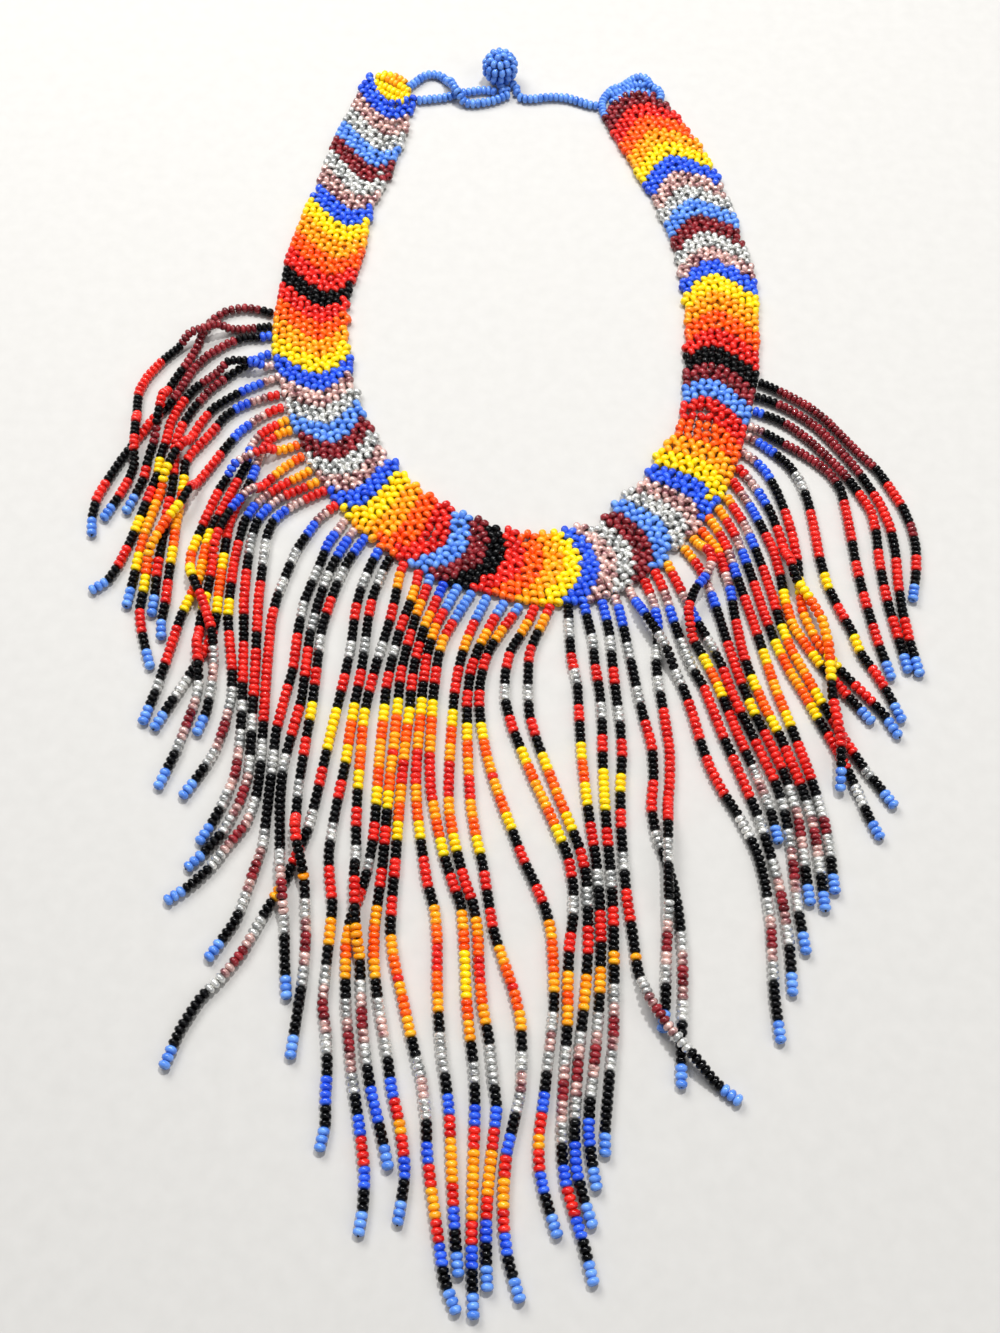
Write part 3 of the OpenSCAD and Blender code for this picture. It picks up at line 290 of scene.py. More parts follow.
      (59.2, -37), (61.8, -45), (64.3, -51.5), (66.4, -58.5), (68.1, -64.5), (69.6, -72), (70.1, -80),
      (70.2, -87), (70.4, -93.7)]),
    (44, "O1 G3 R4 P3 B3 K4 R8 K3 Y3 O3 G3 O3 Y3 K3 R7 K3 C4 M3 C4 K3 L3",
     [(50.9, 10.9), (53.7, 5.6), (56, 0), (57.6, -8), (59.3, -15.5), (61, -23), (62.6, -31),
      (64.5, -40), (66.5, -47), (68.3, -54), (69.9, -60), (71.1, -66), (72.2, -72), (72.8, -79),
      (72.8, -85), (72.9, -89.7)]),
    (45, "G3 R4 P3 B3 K4 R9 K3 Y3 O3 G4 O3 Y3 K3 R7 K3 C4 K3 L3",
     [(53.4, 14), (55.9, 9), (58.2, 3.5), (60, -3), (61.6, -10), (63.4, -19), (65.4, -27), (68, -34.5),
      (71, -41), (73.8, -48), (76.5, -54), (78.5, -59.5), (80.5, -65.5), (82, -71), (84.4, -77)]),
    (46, "G2 R4 P3 B3 K4 R9 K3 Y3 O3 G4 O3 Y3 K3 R7 K3 C2 K3 L3",
     [(55.7, 17.8), (58.3, 12), (60.7, 7), (62.7, 0), (64.4, -7), (66, -15), (67.1, -22), (69, -29),
      (71.5, -35), (74.5, -42.5), (77.2, -48.5), (79.7, -54), (82.2, -59), (85, -63.5), (88.5, -69.3)]),
    (47, "R3 P3 B4 K3 R9 K3 Y3 O3 G4 O3 Y3 K3 R4 K3 L3",
     [(57.9, 21.8), (60.5, 16.5), (63.1, 11), (65.2, 5), (67.2, -1), (68.2, -8), (68.7, -15),
      (69.8, -22), (72.5, -27.5), (75.5, -33), (79.2, -38.7), (82.7, -43.7), (86, -48.2)]),
    (48, "R2 P3 B3 K4 R8 K3 Y3 O3 G4 O3 Y3 K3 R7 K3 L3",
     [(59.7, 25), (62.5, 21.3), (65.3, 16), (67.5, 10.5), (69.2, 3), (69.9, -1.5), (70.5, -4.8, 1),
      (71.3, -10.5, 1), (74, -16, 1), (76.5, -22, 1), (77.3, -29, 1), (77, -36, 1), (76.7, -43, 1),
      (77.3, -49, 1), (77.5, -54, 1), (76.7, -61, 1), (76.5, -65.5)]),
    (49, "P3 B4 K6 R9 K3 Y3 O3 G4 O3 Y3 K3 R4 K3 L3",
     [(61, 29.7), (64.3, 27), (67.3, 23), (69.5, 17), (71, 11), (72.3, 3), (72.8, -5), (72.5, -12),
      (72.7, -19), (75, -26), (77.8, -31), (80.3, -35), (84.9, -40.8), (88.4, -45.5), (91.6, -52)]),
    (50, "P2 B4 K5 C4 K4 R9 K3 Y3 K3 R3 K3 Y3 K3 R4 K3 L3",
     [(62.5, 34.5), (65.8, 32.5), (70, 28.6), (73.2, 25), (75.7, 20), (77, 14), (77.8, 5), (78.2, -3),
      (79.3, -11), (81.5, -18), (83.7, -23.5), (85.2, -30), (88, -35), (90.3, -40.5), (92.8, -48)]),
    (51, "P3 K4 M12 K4 R8 K4 R3 K3 R3 K3 R4 K3 L3",
     [(63.3, 37.7), (67, 35.8), (71.5, 32.5), (76, 29.3), (80, 26), (83.3, 22.3), (85.6, 17.5),
      (86.2, 10), (86.6, 2), (86.9, -5), (87.5, -12), (88.4, -19), (89.6, -27), (91.7, -37)]),
    (52, "B2 K4 M16 K3 R8 K4 R4 K3 R3 K3 R4 K3 L3",
     [(64.5, 43), (67.5, 41.3), (71.5, 39.5), (75, 37), (79, 32.9), (82.2, 28.8), (84.8, 25.3),
      (87.5, 21), (90, 16), (92.3, 11), (92.9, 4), (92.6, -3), (92.8, -10), (93.3, -17), (94.3, -24),
      (95.8, -35)]),
    (53, "K4 M20 K4 R8 K5 R6 K5 R4 K3 L3",
     [(66, 47), (69.5, 45.8), (74, 43.3), (78.3, 40), (81.8, 36.5), (84.8, 32.3), (87.5, 28),
      (90.2, 23.5), (92.8, 18), (95, 12.5), (96.5, 6), (96.9, -1), (96.4, -10), (96.4, -18),
      (97.2, -27), (98.4, -36)]),
    (54, "K4 M24 K4 R5 K4 M3 K4 R3 K3 L3",
     [(66.2, 52.3), (70, 50.5), (75, 47.3), (79.8, 43.8), (84, 39.2), (87.9, 33.5), (91.5, 28.3),
      (95.3, 23.5), (98, 17.5), (100.3, 12), (101.7, 6), (102.1, 0), (101.2, -7), (99.2, -15.5)]),
]

# The collar's rows of net from the left end round to the right: colour, and where the row is at the
# outer edge, at the middle of its bulge and at the inner edge
ROWS = [
    ("B", (-38.7, 166), (-34.2, 154.4), (-25, 156.4)),
    ("P", (-41, 158), (-32.5, 146.5), (-27, 148.5)),
    ("C", (-43.5, 152), (-34, 140), (-28.5, 142)),
    ("L", (-45.5, 146), (-36.5, 133.5), (-30.5, 136)),
    ("M", (-46.5, 140), (-36.5, 127.5), (-32.5, 131)),
    ("C", (-47.5, 135), (-40, 122), (-34, 125.5)),
    ("P", (-49.5, 128), (-41, 116.5), (-36, 118.5)),
    ("B", (-50.5, 120), (-43, 110.5), (-36.5, 113.5)),
    ("Y", (-53, 116), (-43, 104.5), (-38, 108)),
    ("G", (-54.5, 109), (-44, 98), (-38.5, 102)),
    ("O", (-56, 103), (-45, 92), (-39.5, 97)),
    ("R", (-57, 97), (-47.5, 85.5), (-41, 90.5)),
    ("K", (-57, 90), (-48.5, 80.5), (-41.5, 84)),
    ("R", (-58, 84), (-47.5, 75), (-42.5, 79)),
    ("O", (-58.5, 78), (-48, 68.5), (-42.5, 74)),
    ("G", (-58.5, 72), (-48.5, 63), (-42.5, 69)),
    ("Y", (-58.3, 65), (-47, 57), (-41.5, 64)),
    ("B", (-56.5, 59), (-48, 51.5), (-40.5, 58.5)),
    ("P", (-55, 52), (-46, 46), (-40, 52.5)),
    ("C", (-53, 45), (-46, 41), (-38, 48.5)),
    ("L", (-51, 40), (-42.5, 34.5), (-36.5, 43)),
    ("M", (-48.5, 33.5), (-40.5, 29), (-34.5, 38)),
    ("C", (-46.3, 27.5), (-39, 24.5), (-32.5, 34)),
    ("P", (-43, 22.5), (-36, 20), (-30, 28.5)),
    ("B", (-39.8, 17), (-35, 15.5), (-27.5, 25.5)),
    ("Y", (-36, 12), (-31.5, 10.5), (-24.5, 21.5)),
    ("G", (-33, 8), (-27.5, 6.5), (-21.5, 18)),
    ("O", (-28, 3.5), (-24, 2.5), (-17.5, 15)),
    ("R", (-23.7, 0), (-17.5, 0), (-13.5, 12.5)),
    ("L", (-20, -3.5), (-10, -1), (-9.5, 9)),
    ("M", (-15, -7), (-6.5, -3), (-6, 7)),
    ("K", (-10, -9), (-1.5, -4), (-2, 4.5)),
    ("R", (-5, -11), (3.5, -5), (1.5, 3.5)),
    ("O", (0, -13.5), (8, -6), (6, 2.5)),
    ("G", (6, -15), (13.5, -6), (11, 2)),
    ("Y", (11.5, -15), (18, -5), (14, 2)),
    ("B", (17, -15.5), (22, -5), (17, 3)),
    ("P", (22.5, -14), (26, -5), (19.5, 4)),
    ("C", (28, -11), (30.5, -3), (24, 5)),
    ("M", (33, -7.5), (34.5, 0), (27, 8.5)),
    ("L", (37, -4), (39, 4), (29.5, 12)),
    ("C", (42, 1.5), (43, 9), (32, 15)),
    ("P", (46, 5.5), (46, 11), (36, 18)),
    ("B", (49, 10.5), (50, 16), (38, 22)),
    ("Y", (53, 15), (52, 22), (40, 27)),
    ("G", (56.5, 20.5), (54, 27), (43, 31)),
    ("O", (59, 27), (57, 32), (46, 36)),
    ("R", (61.3, 33), (56, 42), (47.5, 41.5)),
    ("L", (63.5, 39.5), (56, 49), (49, 46)),
    ("M", (65, 45.5), (57, 54), (49.5, 52)),
    ("K", (67, 51), (57, 60), (50.5, 57)),
    ("R", (67.5, 57.5), (58, 66), (51, 62)),
    ("O", (68, 64), (58.5, 72), (52, 66)),
    ("G", (68, 70), (59, 79), (52.5, 73)),
    ("Y", (69, 77), (59, 86), (52, 79)),
    ("B", (68, 83), (58.5, 91), (52.5, 84)),
    ("P", (68, 88), (58.5, 95), (52, 88)),
    ("C", (67.5, 94), (57.5, 101), (51, 94)),
    ("M", (66, 101), (57, 107.5), (50, 99)),
    ("L", (65.5, 107), (54.5, 113.5), (49, 105)),
    ("C", (64, 113), (54, 119), (47.5, 110)),
    ("P", (62, 119), (52, 124.5), (46, 115)),
    ("B", (61, 124), (50, 131), (43.5, 120.5)),
    ("Y", (58.5, 130), (49.5, 136), (41.5, 125.5)),
    ("G", (56.5, 136), (46, 142), (39.5, 131)),
    ("O", (54, 142), (44, 147), (38, 136)),
    ("R", (51, 148), (42, 152), (35.5, 141)),
    ("M", (48, 153), (39, 157), (33, 147)),
]

# Short strings that close the net's two ends
END_STRINGS = [
    ("Y2 G3", [(-34.6, 168.6), (-30.8, 167.6), (-28.4, 165.8), (-27.2, 164.2)]),
    ("Y2 G3 Y3", [(-36.3, 167.8), (-32, 166), (-28.8, 163.2), (-26, 160.6)]),
    ("Y8", [(-36.8, 165), (-33, 162.9), (-29.8, 160.3), (-25.8, 158.4)]),
    ("Y7", [(-35.9, 162.2), (-33.6, 159.8), (-31, 157.8), (-27.2, 156.5)]),
]
LOOP_STRINGS = [
    ("L27", [(31.2, 150.4), (30.4, 153.5), (30.5, 157), (32, 160), (34, 162.6), (36.4, 162.9), (38.3, 165.1),
             (40.2, 166.6), (42, 167.6), (43.7, 167.2), (44.6, 165), (45.2, 162.7), (47, 162.5), (48, 159.8),
             (47.4, 157.2)]),
    ("L9", [(32.8, 159.4), (35, 160.6), (37.4, 162), (40, 163.8), (42.6, 164.6), (43.4, 162.8)]),
    ("L10", [(33, 156), (35.4, 158.2), (38.4, 160.4), (41.4, 161.2), (44.4, 160.2), (45.8, 158.6)]),
]
# The ends: the pieces' name, the node that they stand for, and the strings
ENDS = [
    ("left_end", "left_end_cap", END_STRINGS),
    ("right_end", "right_end_loops", LOOP_STRINGS),
]

# The clasp's strings: two from the left end that make the loop, one from the right end to the ball
CLASP_STRINGS = {
    "clasp_loop": [
        [(-27.2, 162.2), (-24.6, 165.2), (-22, 168), (-20, 168.8), (-17, 168), (-14.8, 165),
         (-14.1, 162.9, 1), (-13, 160, 1), (-11.7, 158, 1), (-10.2, 156.4), (-8, 155.9), (-5, 156.3),
         (-1, 157.4), (1.8, 159.1), (3.3, 160.2)],
        [(-24.6, 157.3), (-20, 157.9), (-15, 158.7), (-12, 160.3), (-8, 161.1), (-4.5, 161.9),
         (-2, 161.6), (-0.5, 160.8)],
    ],
    "ball_string": [
        [(30.4, 155.2), (27.5, 155.2), (25, 156.4), (20, 158.6), (15, 158.9), (10, 158), (7.2, 158),
         (5.8, 159.3)],
    ],
}
# The ball: its place and size, how far its beads stay inside that size, the rings' heights in degrees
# above and below its middle, the bead spacing round a ring and how uneven that is, and the core
BALL_AT = np.array([0.5, 166.7])
BALL_D = 11.0
BALL_INSET = 0.04
BALL_LATITUDES = (-75, -45, -15, 15, 45, 75)
BALL_PITCH = 1.92
BALL_UNEVEN = 0.08
CORE_R = 3.75
CORE_RINGS = 12
CORE_SIDES = 20
# The bead of the ball's stem, the beads that gather the strings under the ball, and the way they lie
STEM_BEAD = np.array([0.8, 163.0, 1.7])
JOINT_BEADS = [
    (2.5, 161.7, 1.4),
    (5.5, 160.9, 1.34),
    (5.4, 162.5, 1.36),
    (4.4, 164.0, 1.5),
    (1.2, 161.3, 1.34),
]
JOINT_WAY = np.array([0.6, -0.8, 0.0])

# Which strands go to which side: name, first and last strand, and the nodes that they stand for
SIDES = [
    ("left_outer", 1, 8, ["fringe_left_1", "fringe_left_2"]),
    ("left_inner", 9, 20, ["fringe_left_3", "fringe_left_4", "fringe_left_5"]),
    ("middle", 21, 34, ["fringe_left_6", "fringe_centre", "fringe_right_6"]),
    ("right_inner", 35, 44, ["fringe_right_5", "fringe_right_4", "fringe_right_3"]),
    ("right_outer", 45, 54, ["fringe_right_2", "fringe_right_1"]),
]


# Routes

def run_of(points):
    """The distance along a line of points, at each of them."""
    return np.concatenate([[0], np.cumsum(np.linalg.norm(np.diff(points, axis=0), axis=1))])


def points_at(path, stops):
    """Points at distances along a path."""
    run = run_of(path)
    return np.stack([np.interp(stops, run, path[:, k]) for k in range(3)], axis=1)


def lay_route(points):
    """A route as closely spaced points in millimetres, with its corners eased as a thread eases them."""
    knots = np.array([(x, y, LIE_Z + CROSS_LIFT * (over[0] if over else 0)) for x, y, *over in points], float)
    knots[:, :2] += PLAN_SHIFT
    length = run_of(knots)[-1]
    path = points_at(knots, np.linspace(0, length, int(length / PATH_STEP)))
    for _ in range(EASE_ROUNDS):
        path[1:-1] += 0.5 * (0.5 * (path[:-2] + path[2:]) - path[1:-1])
    return path


def along(path, stops):
    """Places and directions at distances along a path."""
    way = points_at(path, stops + WAY_REACH) - points_at(path, stops - WAY_REACH)
    return points_at(path, stops), way / np.linalg.norm(way, axis=1, keepdims=True)


def colours_of(text):
    """The beads' letters in order: K2 M3 stands for K K M M M."""
    return [word[0] for word in text.split() for _ in range(int(word[1:]))]


def put_bead(heap, letter, spot, way, room=None, size=1.0):
    """One bead, with the small differences in size and seat that real beads have."""
    _, width, pitch = BEADS[letter]
    room = pitch if room is None else room
    width = min(WIDEST, width * size * (1 + rng.normal(0, WIDTH_SPREAD)))
    tilt = way + rng.normal(0, TILT_SPREAD, 3) * TILT_SHARES
    heap.setdefault(letter, []).append((spot, tilt / np.linalg.norm(tilt), width / 2, room * HALF_LENGTH))


def string_beads(text, path, heap, start=0.0):
    """Threads the beads that a text gives evenly along a path, and puts them on the heap by colour."""
    letters = colours_of(text)
    pitch = np.array([BEADS[letter][2] for letter in letters])
    length = run_of(path)[-1] - start - END_KNOT
    pitch = pitch * length / pitch.sum()
    spots, ways = along(path, start + np.cumsum(pitch) - pitch / 2)
    for letter, spot, way, room in zip(letters, spots, ways, pitch):
        put_bead(heap, letter, spot, way, min(room, BEADS[letter][2] * MOST_STRETCH))


def clear_start(path, first, others):
    """How far along a path its first bead starts, to be clear of beads that are already there."""
    stops = np.arange(0, ROOT_REACH, ROOT_STEP)
    places = points_at(path, stops + BEADS[first][2] / 2)
    rooms = np.linalg.norm(places[:, None] - others[None], axis=2).min(axis=1)
    crowded = np.nonzero(rooms < ROOT_ROOM)[0]
    return stops[min(crowded[-1] + 1, len(stops) - 1)] if len(crowded) else 0.0


# Meshes

# Half of a bead's cut face, from the hole's rim round the outside: share of radius, share of half length
BEAD_PROFILE = np.array([(0.34, -0.82), (0.62, -1.0), (1.0, -0.42), (1.0, 0.42), (0.62, 1.0), (0.34, 0.82)])
BEAD_SIDES = 10
# Thickness of a thread, and how many of a route's points it takes one of
THREAD_W = 0.42
THREAD_EVERY = 6


def mesh_from(name, corners, faces, material):
    """A mesh object from arrays of corners in millimetres and of four-sided faces."""
    mesh = bpy.data.meshes.new(name)
    mesh.vertices.add(len(corners))
    mesh.vertices.foreach_set("co", (np.asarray(corners) * MM).astype(np.float32).ravel())
    mesh.loops.add(faces.size)
    mesh.loops.foreach_set("vertex_index", faces.astype(np.int32).ravel())
    mesh.polygons.add(len(faces))
    mesh.polygons.foreach_set("loop_start", np.arange(0, faces.size, 4, dtype=np.int32))
    mesh.polygons.foreach_set("use_smooth", np.ones(len(faces), bool))
    mesh.update(calc_edges=True)
    mesh.validate()
    mesh.materials.append(material)
    piece = bpy.data.objects.new(name, mesh)
    bpy.context.scene.collection.objects.link(piece)
    return piece


def square_to(ways):
    """Two directions square to each way: one level, one upward."""
    side = np.cross(ways, (0.0, 0.0, 1.0))
    side /= np.linalg.norm(side, axis=1, keepdims=True)
    return side, np.cross(side, ways)


def bead_mesh(name, beads, material):
    """Many lathed beads as one mesh."""
    spots, ways, radii, halves = (np.array(values) for values in zip(*beads))
    side, up = square_to(ways)
    turn = 2 * math.pi * (np.arange(BEAD_SIDES) + 0.5) / BEAD_SIDES
    out = np.cos(turn)[None, :, None] * side[:, None, :] + np.sin(turn)[None, :, None] * up[:, None, :]
    corners = (spots[:, None, None, :]
               + BEAD_PROFILE[None, :, 0, None, None] * radii[:, None, None, None] * out[:, None, :, :]
               + BEAD_PROFILE[None, :, 1, None, None] * (halves[:, None] * ways)[:, None, None, :])
    rings = len(BEAD_PROFILE)
    faces = []
    for ring in range(rings):
        here, there = ring * BEAD_SIDES, (ring + 1) % rings * BEAD_SIDES
        for s in range(BEAD_SIDES):
            after = (s + 1) % BEAD_SIDES
            faces.append((here + s, there + s, there + after, here + after))
    faces = np.array(faces)[None] + (np.arange(len(beads)) * rings * BEAD_SIDES)[:, None, None]
    return mesh_from(name, corners.reshape(-1, 3), faces.reshape(-1, 4), material)


def thread_mesh(name, paths, material):
    """Threads of square section along paths, as one mesh."""
    corners, faces, first = [], [], 0
    for path in paths:
        way = np.gradient(path, axis=0)
        way /= np.linalg.norm(way, axis=1, keepdims=True)
        side, up = square_to(way)
        h = THREAD_W / 2
        ring = [path + side * h, path + up * h, path - side * h, path - up * h]
        corners.append(np.stack(ring, axis=1).reshape(-1, 3))
        last = first + 4 * (len(path) - 1)
        for start in range(first, last, 4):
            for k in range(4):
                a, b = start + k, start + (k + 1) % 4
                faces.append((a, b, b + 4, a + 4))
        faces.append((first + 3, first + 2, first + 1, first))
        faces.append((last, last + 1, last + 2, last + 3))
        first = last + 4
    return mesh_from(name, np.concatenate(corners), np.array(faces), material)


def dress(piece, slot, *nodes):
    """Hangs a piece on the root body and hides the model's nodes that it stands for. The slot is not used."""
    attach(piece, "root")
    if nodes:
        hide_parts(*nodes)


def add_beads(title, heap, *nodes):
    """One piece for each colour of bead on a heap."""
    for letter, beads in heap.items():
        slot = BEADS[letter][0]
        dress(bead_mesh(title + "_" + slot, beads, GLASS[letter]), slot, *nodes)


# Materials

def linear(hex_colour):
    """An sRGB hex colour as linear RGBA."""
    parts = [int(hex_colour[k:k + 2], 16) / 255 for k in (1, 3, 5)]
    return [p / 12.92 if p <= 0.04045 else ((p + 0.055) / 1.055) ** 2.4 for p in parts] + [1.0]


def add_node(tree, kind, values=None, links=None, **settings):
    """Adds a node, sets its sockets and joins its inputs to other nodes' outputs."""
    made = tree.nodes.new(kind)
    for key, value in settings.items():
        setattr(made, key, value)
    for key, value in (values or {}).items():
        made.inputs[key].default_value = value
    for key, (other, socket) in (links or {}).items():
        tree.links.new(other.outputs[socket], made.inputs[key])
    return made


def start_material(name):
    """A new material, with its empty node tree."""
    material = bpy.data.materials.new(name)
    material.use_nodes = True
    material.node_tree.nodes.clear()
    return material, material.node_tree


# One cell of the tone pattern is about a bead, so that neighbours differ as beads of one batch do, and
# the deep and the bright tone stand at these two values of the pattern
BATCH_CELL = 2.6
DEEP_AT = 0.36
BRIGHT_AT = 0.62
# Ripples of the fire-polished skin, drawn coarser than real ones so that they show
SKIN_RIPPLE = 0.5
# Over the ripples the roughness goes between these shares of its value
GLOSSIEST = 0.8
DULLEST = 1.3
# Cell of the wave that draws the thread's twist, with a band about every 0.38 mm along X or Y
TWIST_CELL = 0.6
# Height of the ripples and of the twist
RELIEF = 0.05
# Patches of tone in the board under the necklace
BOARD_GRAIN = 4.0


def cut_glass(name, deep, bright, roughness, skin=0.12, **shader):
    """Seed bead glass drawn as a tube, chopped and tumbled hot, so its skin is glossy and a little uneven."""
    material, tree = start_material(name)
    place = add_node(tree, "ShaderNodeTexCoord")
    cells = add_node(tree, "ShaderNodeTexNoise", {"Scale": 1000 / BATCH_CELL, "Detail": 1.0},
                     {"Vector": (place, "Object")})
    tone = add_node(tree, "ShaderNodeValToRGB", None, {"Fac": (cells, "Fac")})
    tone.color_ramp.elements[0].position = DEEP_AT
    tone.color_ramp.elements[0].color = linear(deep)
    tone.color_ramp.elements[1].position = BRIGHT_AT
    tone.color_ramp.elements[1].color = linear(bright)
    ripple = add_node(tree, "ShaderNodeTexNoise", {"Scale": 1000 / SKIN_RIPPLE, "Detail": 2.0},
                      {"Vector": (place, "Object")})
    bump = add_node(tree, "ShaderNodeBump", {"Strength": skin, "Distance": RELIEF * MM},
                    {"Height": (ripple, "Fac")})
    gloss = add_node(tree, "ShaderNodeMapRange",
                     {"To Min": roughness * GLOSSIEST, "To Max": roughness * DULLEST},
                     {"Value": (ripple, "Fac")})
    body = add_node(tree, "ShaderNodeBsdfPrincipled", shader,
                    {"Base Color": (tone, "Color"), "Roughness": (gloss, "Result"),
                     "Normal": (bump, "Normal")})
    add_node(tree, "ShaderNodeOutputMaterial", None, {"Surface": (body, "BSDF")})
    return material


GLASS = {
    # opaque glass, coloured right through
    "R": cut_glass("red_seed_bead_glass", "#C40E0A", "#EE2A1E", 0.16, IOR=1.52),
    "O": cut_glass("orange_seed_bead_glass", "#F04400", "#FF6A10", 0.16, IOR=1.52),
    "G": cut_glass("amber_seed_bead_glass", "#F58E00", "#FFB21A", 0.16, IOR=1.52),
    "Y": cut_glass("yellow_seed_bead_glass", "#F8C800", "#FFE010", 0.16, IOR=1.52),
    "K": cut_glass("black_seed_bead_glass", "#010102", "#060608", 0.07,
                   **{"IOR": 1.5, "Specular IOR Level": 0.2}),
    "B": cut_glass("blue_seed_bead_glass", "#1C46CC", "#3768F0", 0.14, IOR=1.52),
    "L": cut_glass("pale_blue_seed_bead_glass", "#4679D4", "#6C9EEE", 0.16, IOR=1.52),
    # clear garnet glass: dark, with a red glow where the light goes through a thin edge
    "M": cut_glass("garnet_seed_bead_glass", "#620E16", "#A62C34", 0.10,
                   **{"IOR": 1.52, "Transmission Weight": 0.2}),
    # clear glass over a silvered hole: bright and sparkling
    "C": cut_glass("silver_lined_seed_bead_glass", "#A4A5A3", "#ECEBE6", 0.18, 0.5,
                   **{"Metallic": 0.55, "Coat Weight": 1.0, "Coat Roughness": 0.03}),
    # clear glass over a painted pink hole
    "P": cut_glass("pink_lined_seed_bead_glass", "#864E50", "#EEC8BE", 0.18, 0.45,
                   **{"Metallic": 0.3, "Coat Weight": 1.0, "Coat Roughness": 0.03}),
}


def nylon_thread():
    """Waxed nylon thread of twisted filaments: dull, with a fine slanting twist."""
    material, tree = start_material("nylon_beading_thread")
    place = add_node(tree, "ShaderNodeTexCoord")
    twist = add_node(tree, "ShaderNodeTexWave", {"Scale": 1000 / TWIST_CELL, "Distortion": 1.0},
                     {"Vector": (place, "Object")}, bands_direction="DIAGONAL")
    tone = add_node(tree, "ShaderNodeValToRGB", None, {"Fac": (twist, "Fac")})
    tone.color_ramp.elements[0].color = linear("#191512")
    tone.color_ramp.elements[1].color = linear("#3A332C")
    bump = add_node(tree, "ShaderNodeBump", {"Strength": 0.4, "Distance": RELIEF * MM},
                    {"Height": (twist, "Fac")})
    body = add_node(tree, "ShaderNodeBsdfPrincipled", {"Roughness": 0.7},
                    {"Base Color": (tone, "Color"), "Normal": (bump, "Normal")})
    add_node(tree, "ShaderNodeOutputMaterial", None, {"Surface": (body, "BSDF")})
    return material


THREAD = nylon_thread()


# The net

# A row is three lines of beads. For each: its share of the way to the next row, how far its beads slant
# to one side and the other, and how far it reaches past the net's edge, which makes the scallops
NET_LINES = ((-0.33, 34, 0.3), (0.0, 48, 1.0), (0.33, 24, 0.6))
# Bead spacing along a line, how far beads stray from it, and how many points draw a row's bow
NET_PITCH = 2.22
NET_STRAY = 0.05
BOW_POINTS = 80
# Every other bead of a line stands up a little
NET_RISE = 0.2
# The least room from the middle of one net bead to the next. In each round, beads that sit closer move
# apart by a share of what they lack.
NET_ROOM = 2.0
PUSH_ROUNDS = 30
PUSH_SHARE = 0.25


def row_arc(outer, bulge, inner):
    """A row's bow from the outer to the inner edge, as points."""
    a, m, b = (np.array(p, float) + PLAN_SHIFT for p in (outer, bulge, inner))
    bend = 2 * m - (a + b) / 2
    t = np.linspace(0, 1, BOW_POINTS)[:, None]
    return (1 - t) ** 2 * a + 2 * t * (1 - t) * bend + t ** 2 * b


def net_line(arc, slant, first):
    """Places and directions of the beads along a line of the net, in pairs that lean together."""
    length = run_of(arc)[-1]
    path = np.column_stack([arc, np.full(len(arc), LIE_Z)])
    count = round(length / NET_PITCH - 0.5 * first)
    stops = (np.arange(count) + 0.5 + 0.5 * first) * length / (count + 0.5 * first)
    spots, ways = along(path, stops)
    placed = []
    for k, (spot, way) in enumerate(zip(spots, ways)):
        lean = math.radians(slant) * (1 - 2 * ((k + first) % 2))
        way = np.array([way[0] * math.cos(lean) - way[1] * math.sin(lean),
                        way[0] * math.sin(lean) + way[1] * math.cos(lean), 0])
        placed.append((spot + (*rng.normal(0, NET_STRAY, 2), NET_RISE * (k % 2)), way))
    return placed


def push_apart(spots):
    """Spots in plan after beads that sit too close have pushed each other apart, as in a tight net."""
    spots = spots.copy()
    for _ in range(PUSH_ROUNDS):
        tree = KDTree(len(spots))
        for k, spot in enumerate(spots):
            tree.insert(spot, k)
        tree.balance()
        push = np.zeros_like(spots)
        for k, spot in enumerate(spots):
            for other, j, gap in tree.find_range(spot, NET_ROOM):
                if j != k:
                    push[k, :2] += (spot - other)[:2] * (NET_ROOM - gap) / gap
        spots += PUSH_SHARE * push
    return spots


net_beads, line_lengths = [], []
arcs = [row_arc(*places) for _, *places in ROWS]
# One more arc before the first row and after the last, for the lines that lie beyond them
arcs = [2 * arcs[0] - arcs[1]] + arcs + [2 * arcs[-1] - arcs[-2]]
for k, (letter, *_) in enumerate(ROWS):
    for first, (share, slant, reach) in enumerate(NET_LINES):
        near = arcs[k + 1]
        far = arcs[k + 2] if share > 0 else arcs[k]
        line = near + (far - near) * abs(share)
        middle = (line[0] + line[-1]) / 2
        line = middle + (line - middle) * (1 + 2 * reach / np.linalg.norm(line[-1] - line[0]))
        placed = net_line(line, slant, first % 2)
        net_beads += [(letter, spot, way) for spot, way in placed]
        line_lengths.append(len(placed))
net_spots = push_apart(np.array([spot for _, spot, _ in net_beads]))
net_heap = {}
for (letter, _, way), spot in zip(net_beads, net_spots):
    put_bead(net_heap, letter, spot, way, FINE_ROOM, FINE)
add_beads("net", net_heap, "collar_band")
net_threads = np.split(net_spots, np.cumsum(line_lengths)[:-1])
dress(thread_mesh("net_threads", net_threads, THREAD), "thread", "collar_band")

# The net's ends

end_spots = net_spots
for title, node, strings in ENDS:
    heap = {}
    for text, points in strings:
        string_beads(text, lay_route(points), heap)
    end_spots = np.concatenate([end_spots] + [[bead[0] for bead in beads] for beads in heap.values()])
    add_beads(title, heap, node)

# The strands

for side, first, last, nodes in SIDES:
    heap, threads = {}, []
    for number, text, points in STRANDS:
        if first <= number <= last:
            path = lay_route(points)
            string_beads(text, path, heap, clear_start(path, text[0], net_spots))
            threads.append(path[::THREAD_EVERY])
    add_beads("strands_" + side, heap, *nodes)
    dress(thread_mesh("threads_" + side, threads, THREAD), "thread", *nodes)

# The clasp

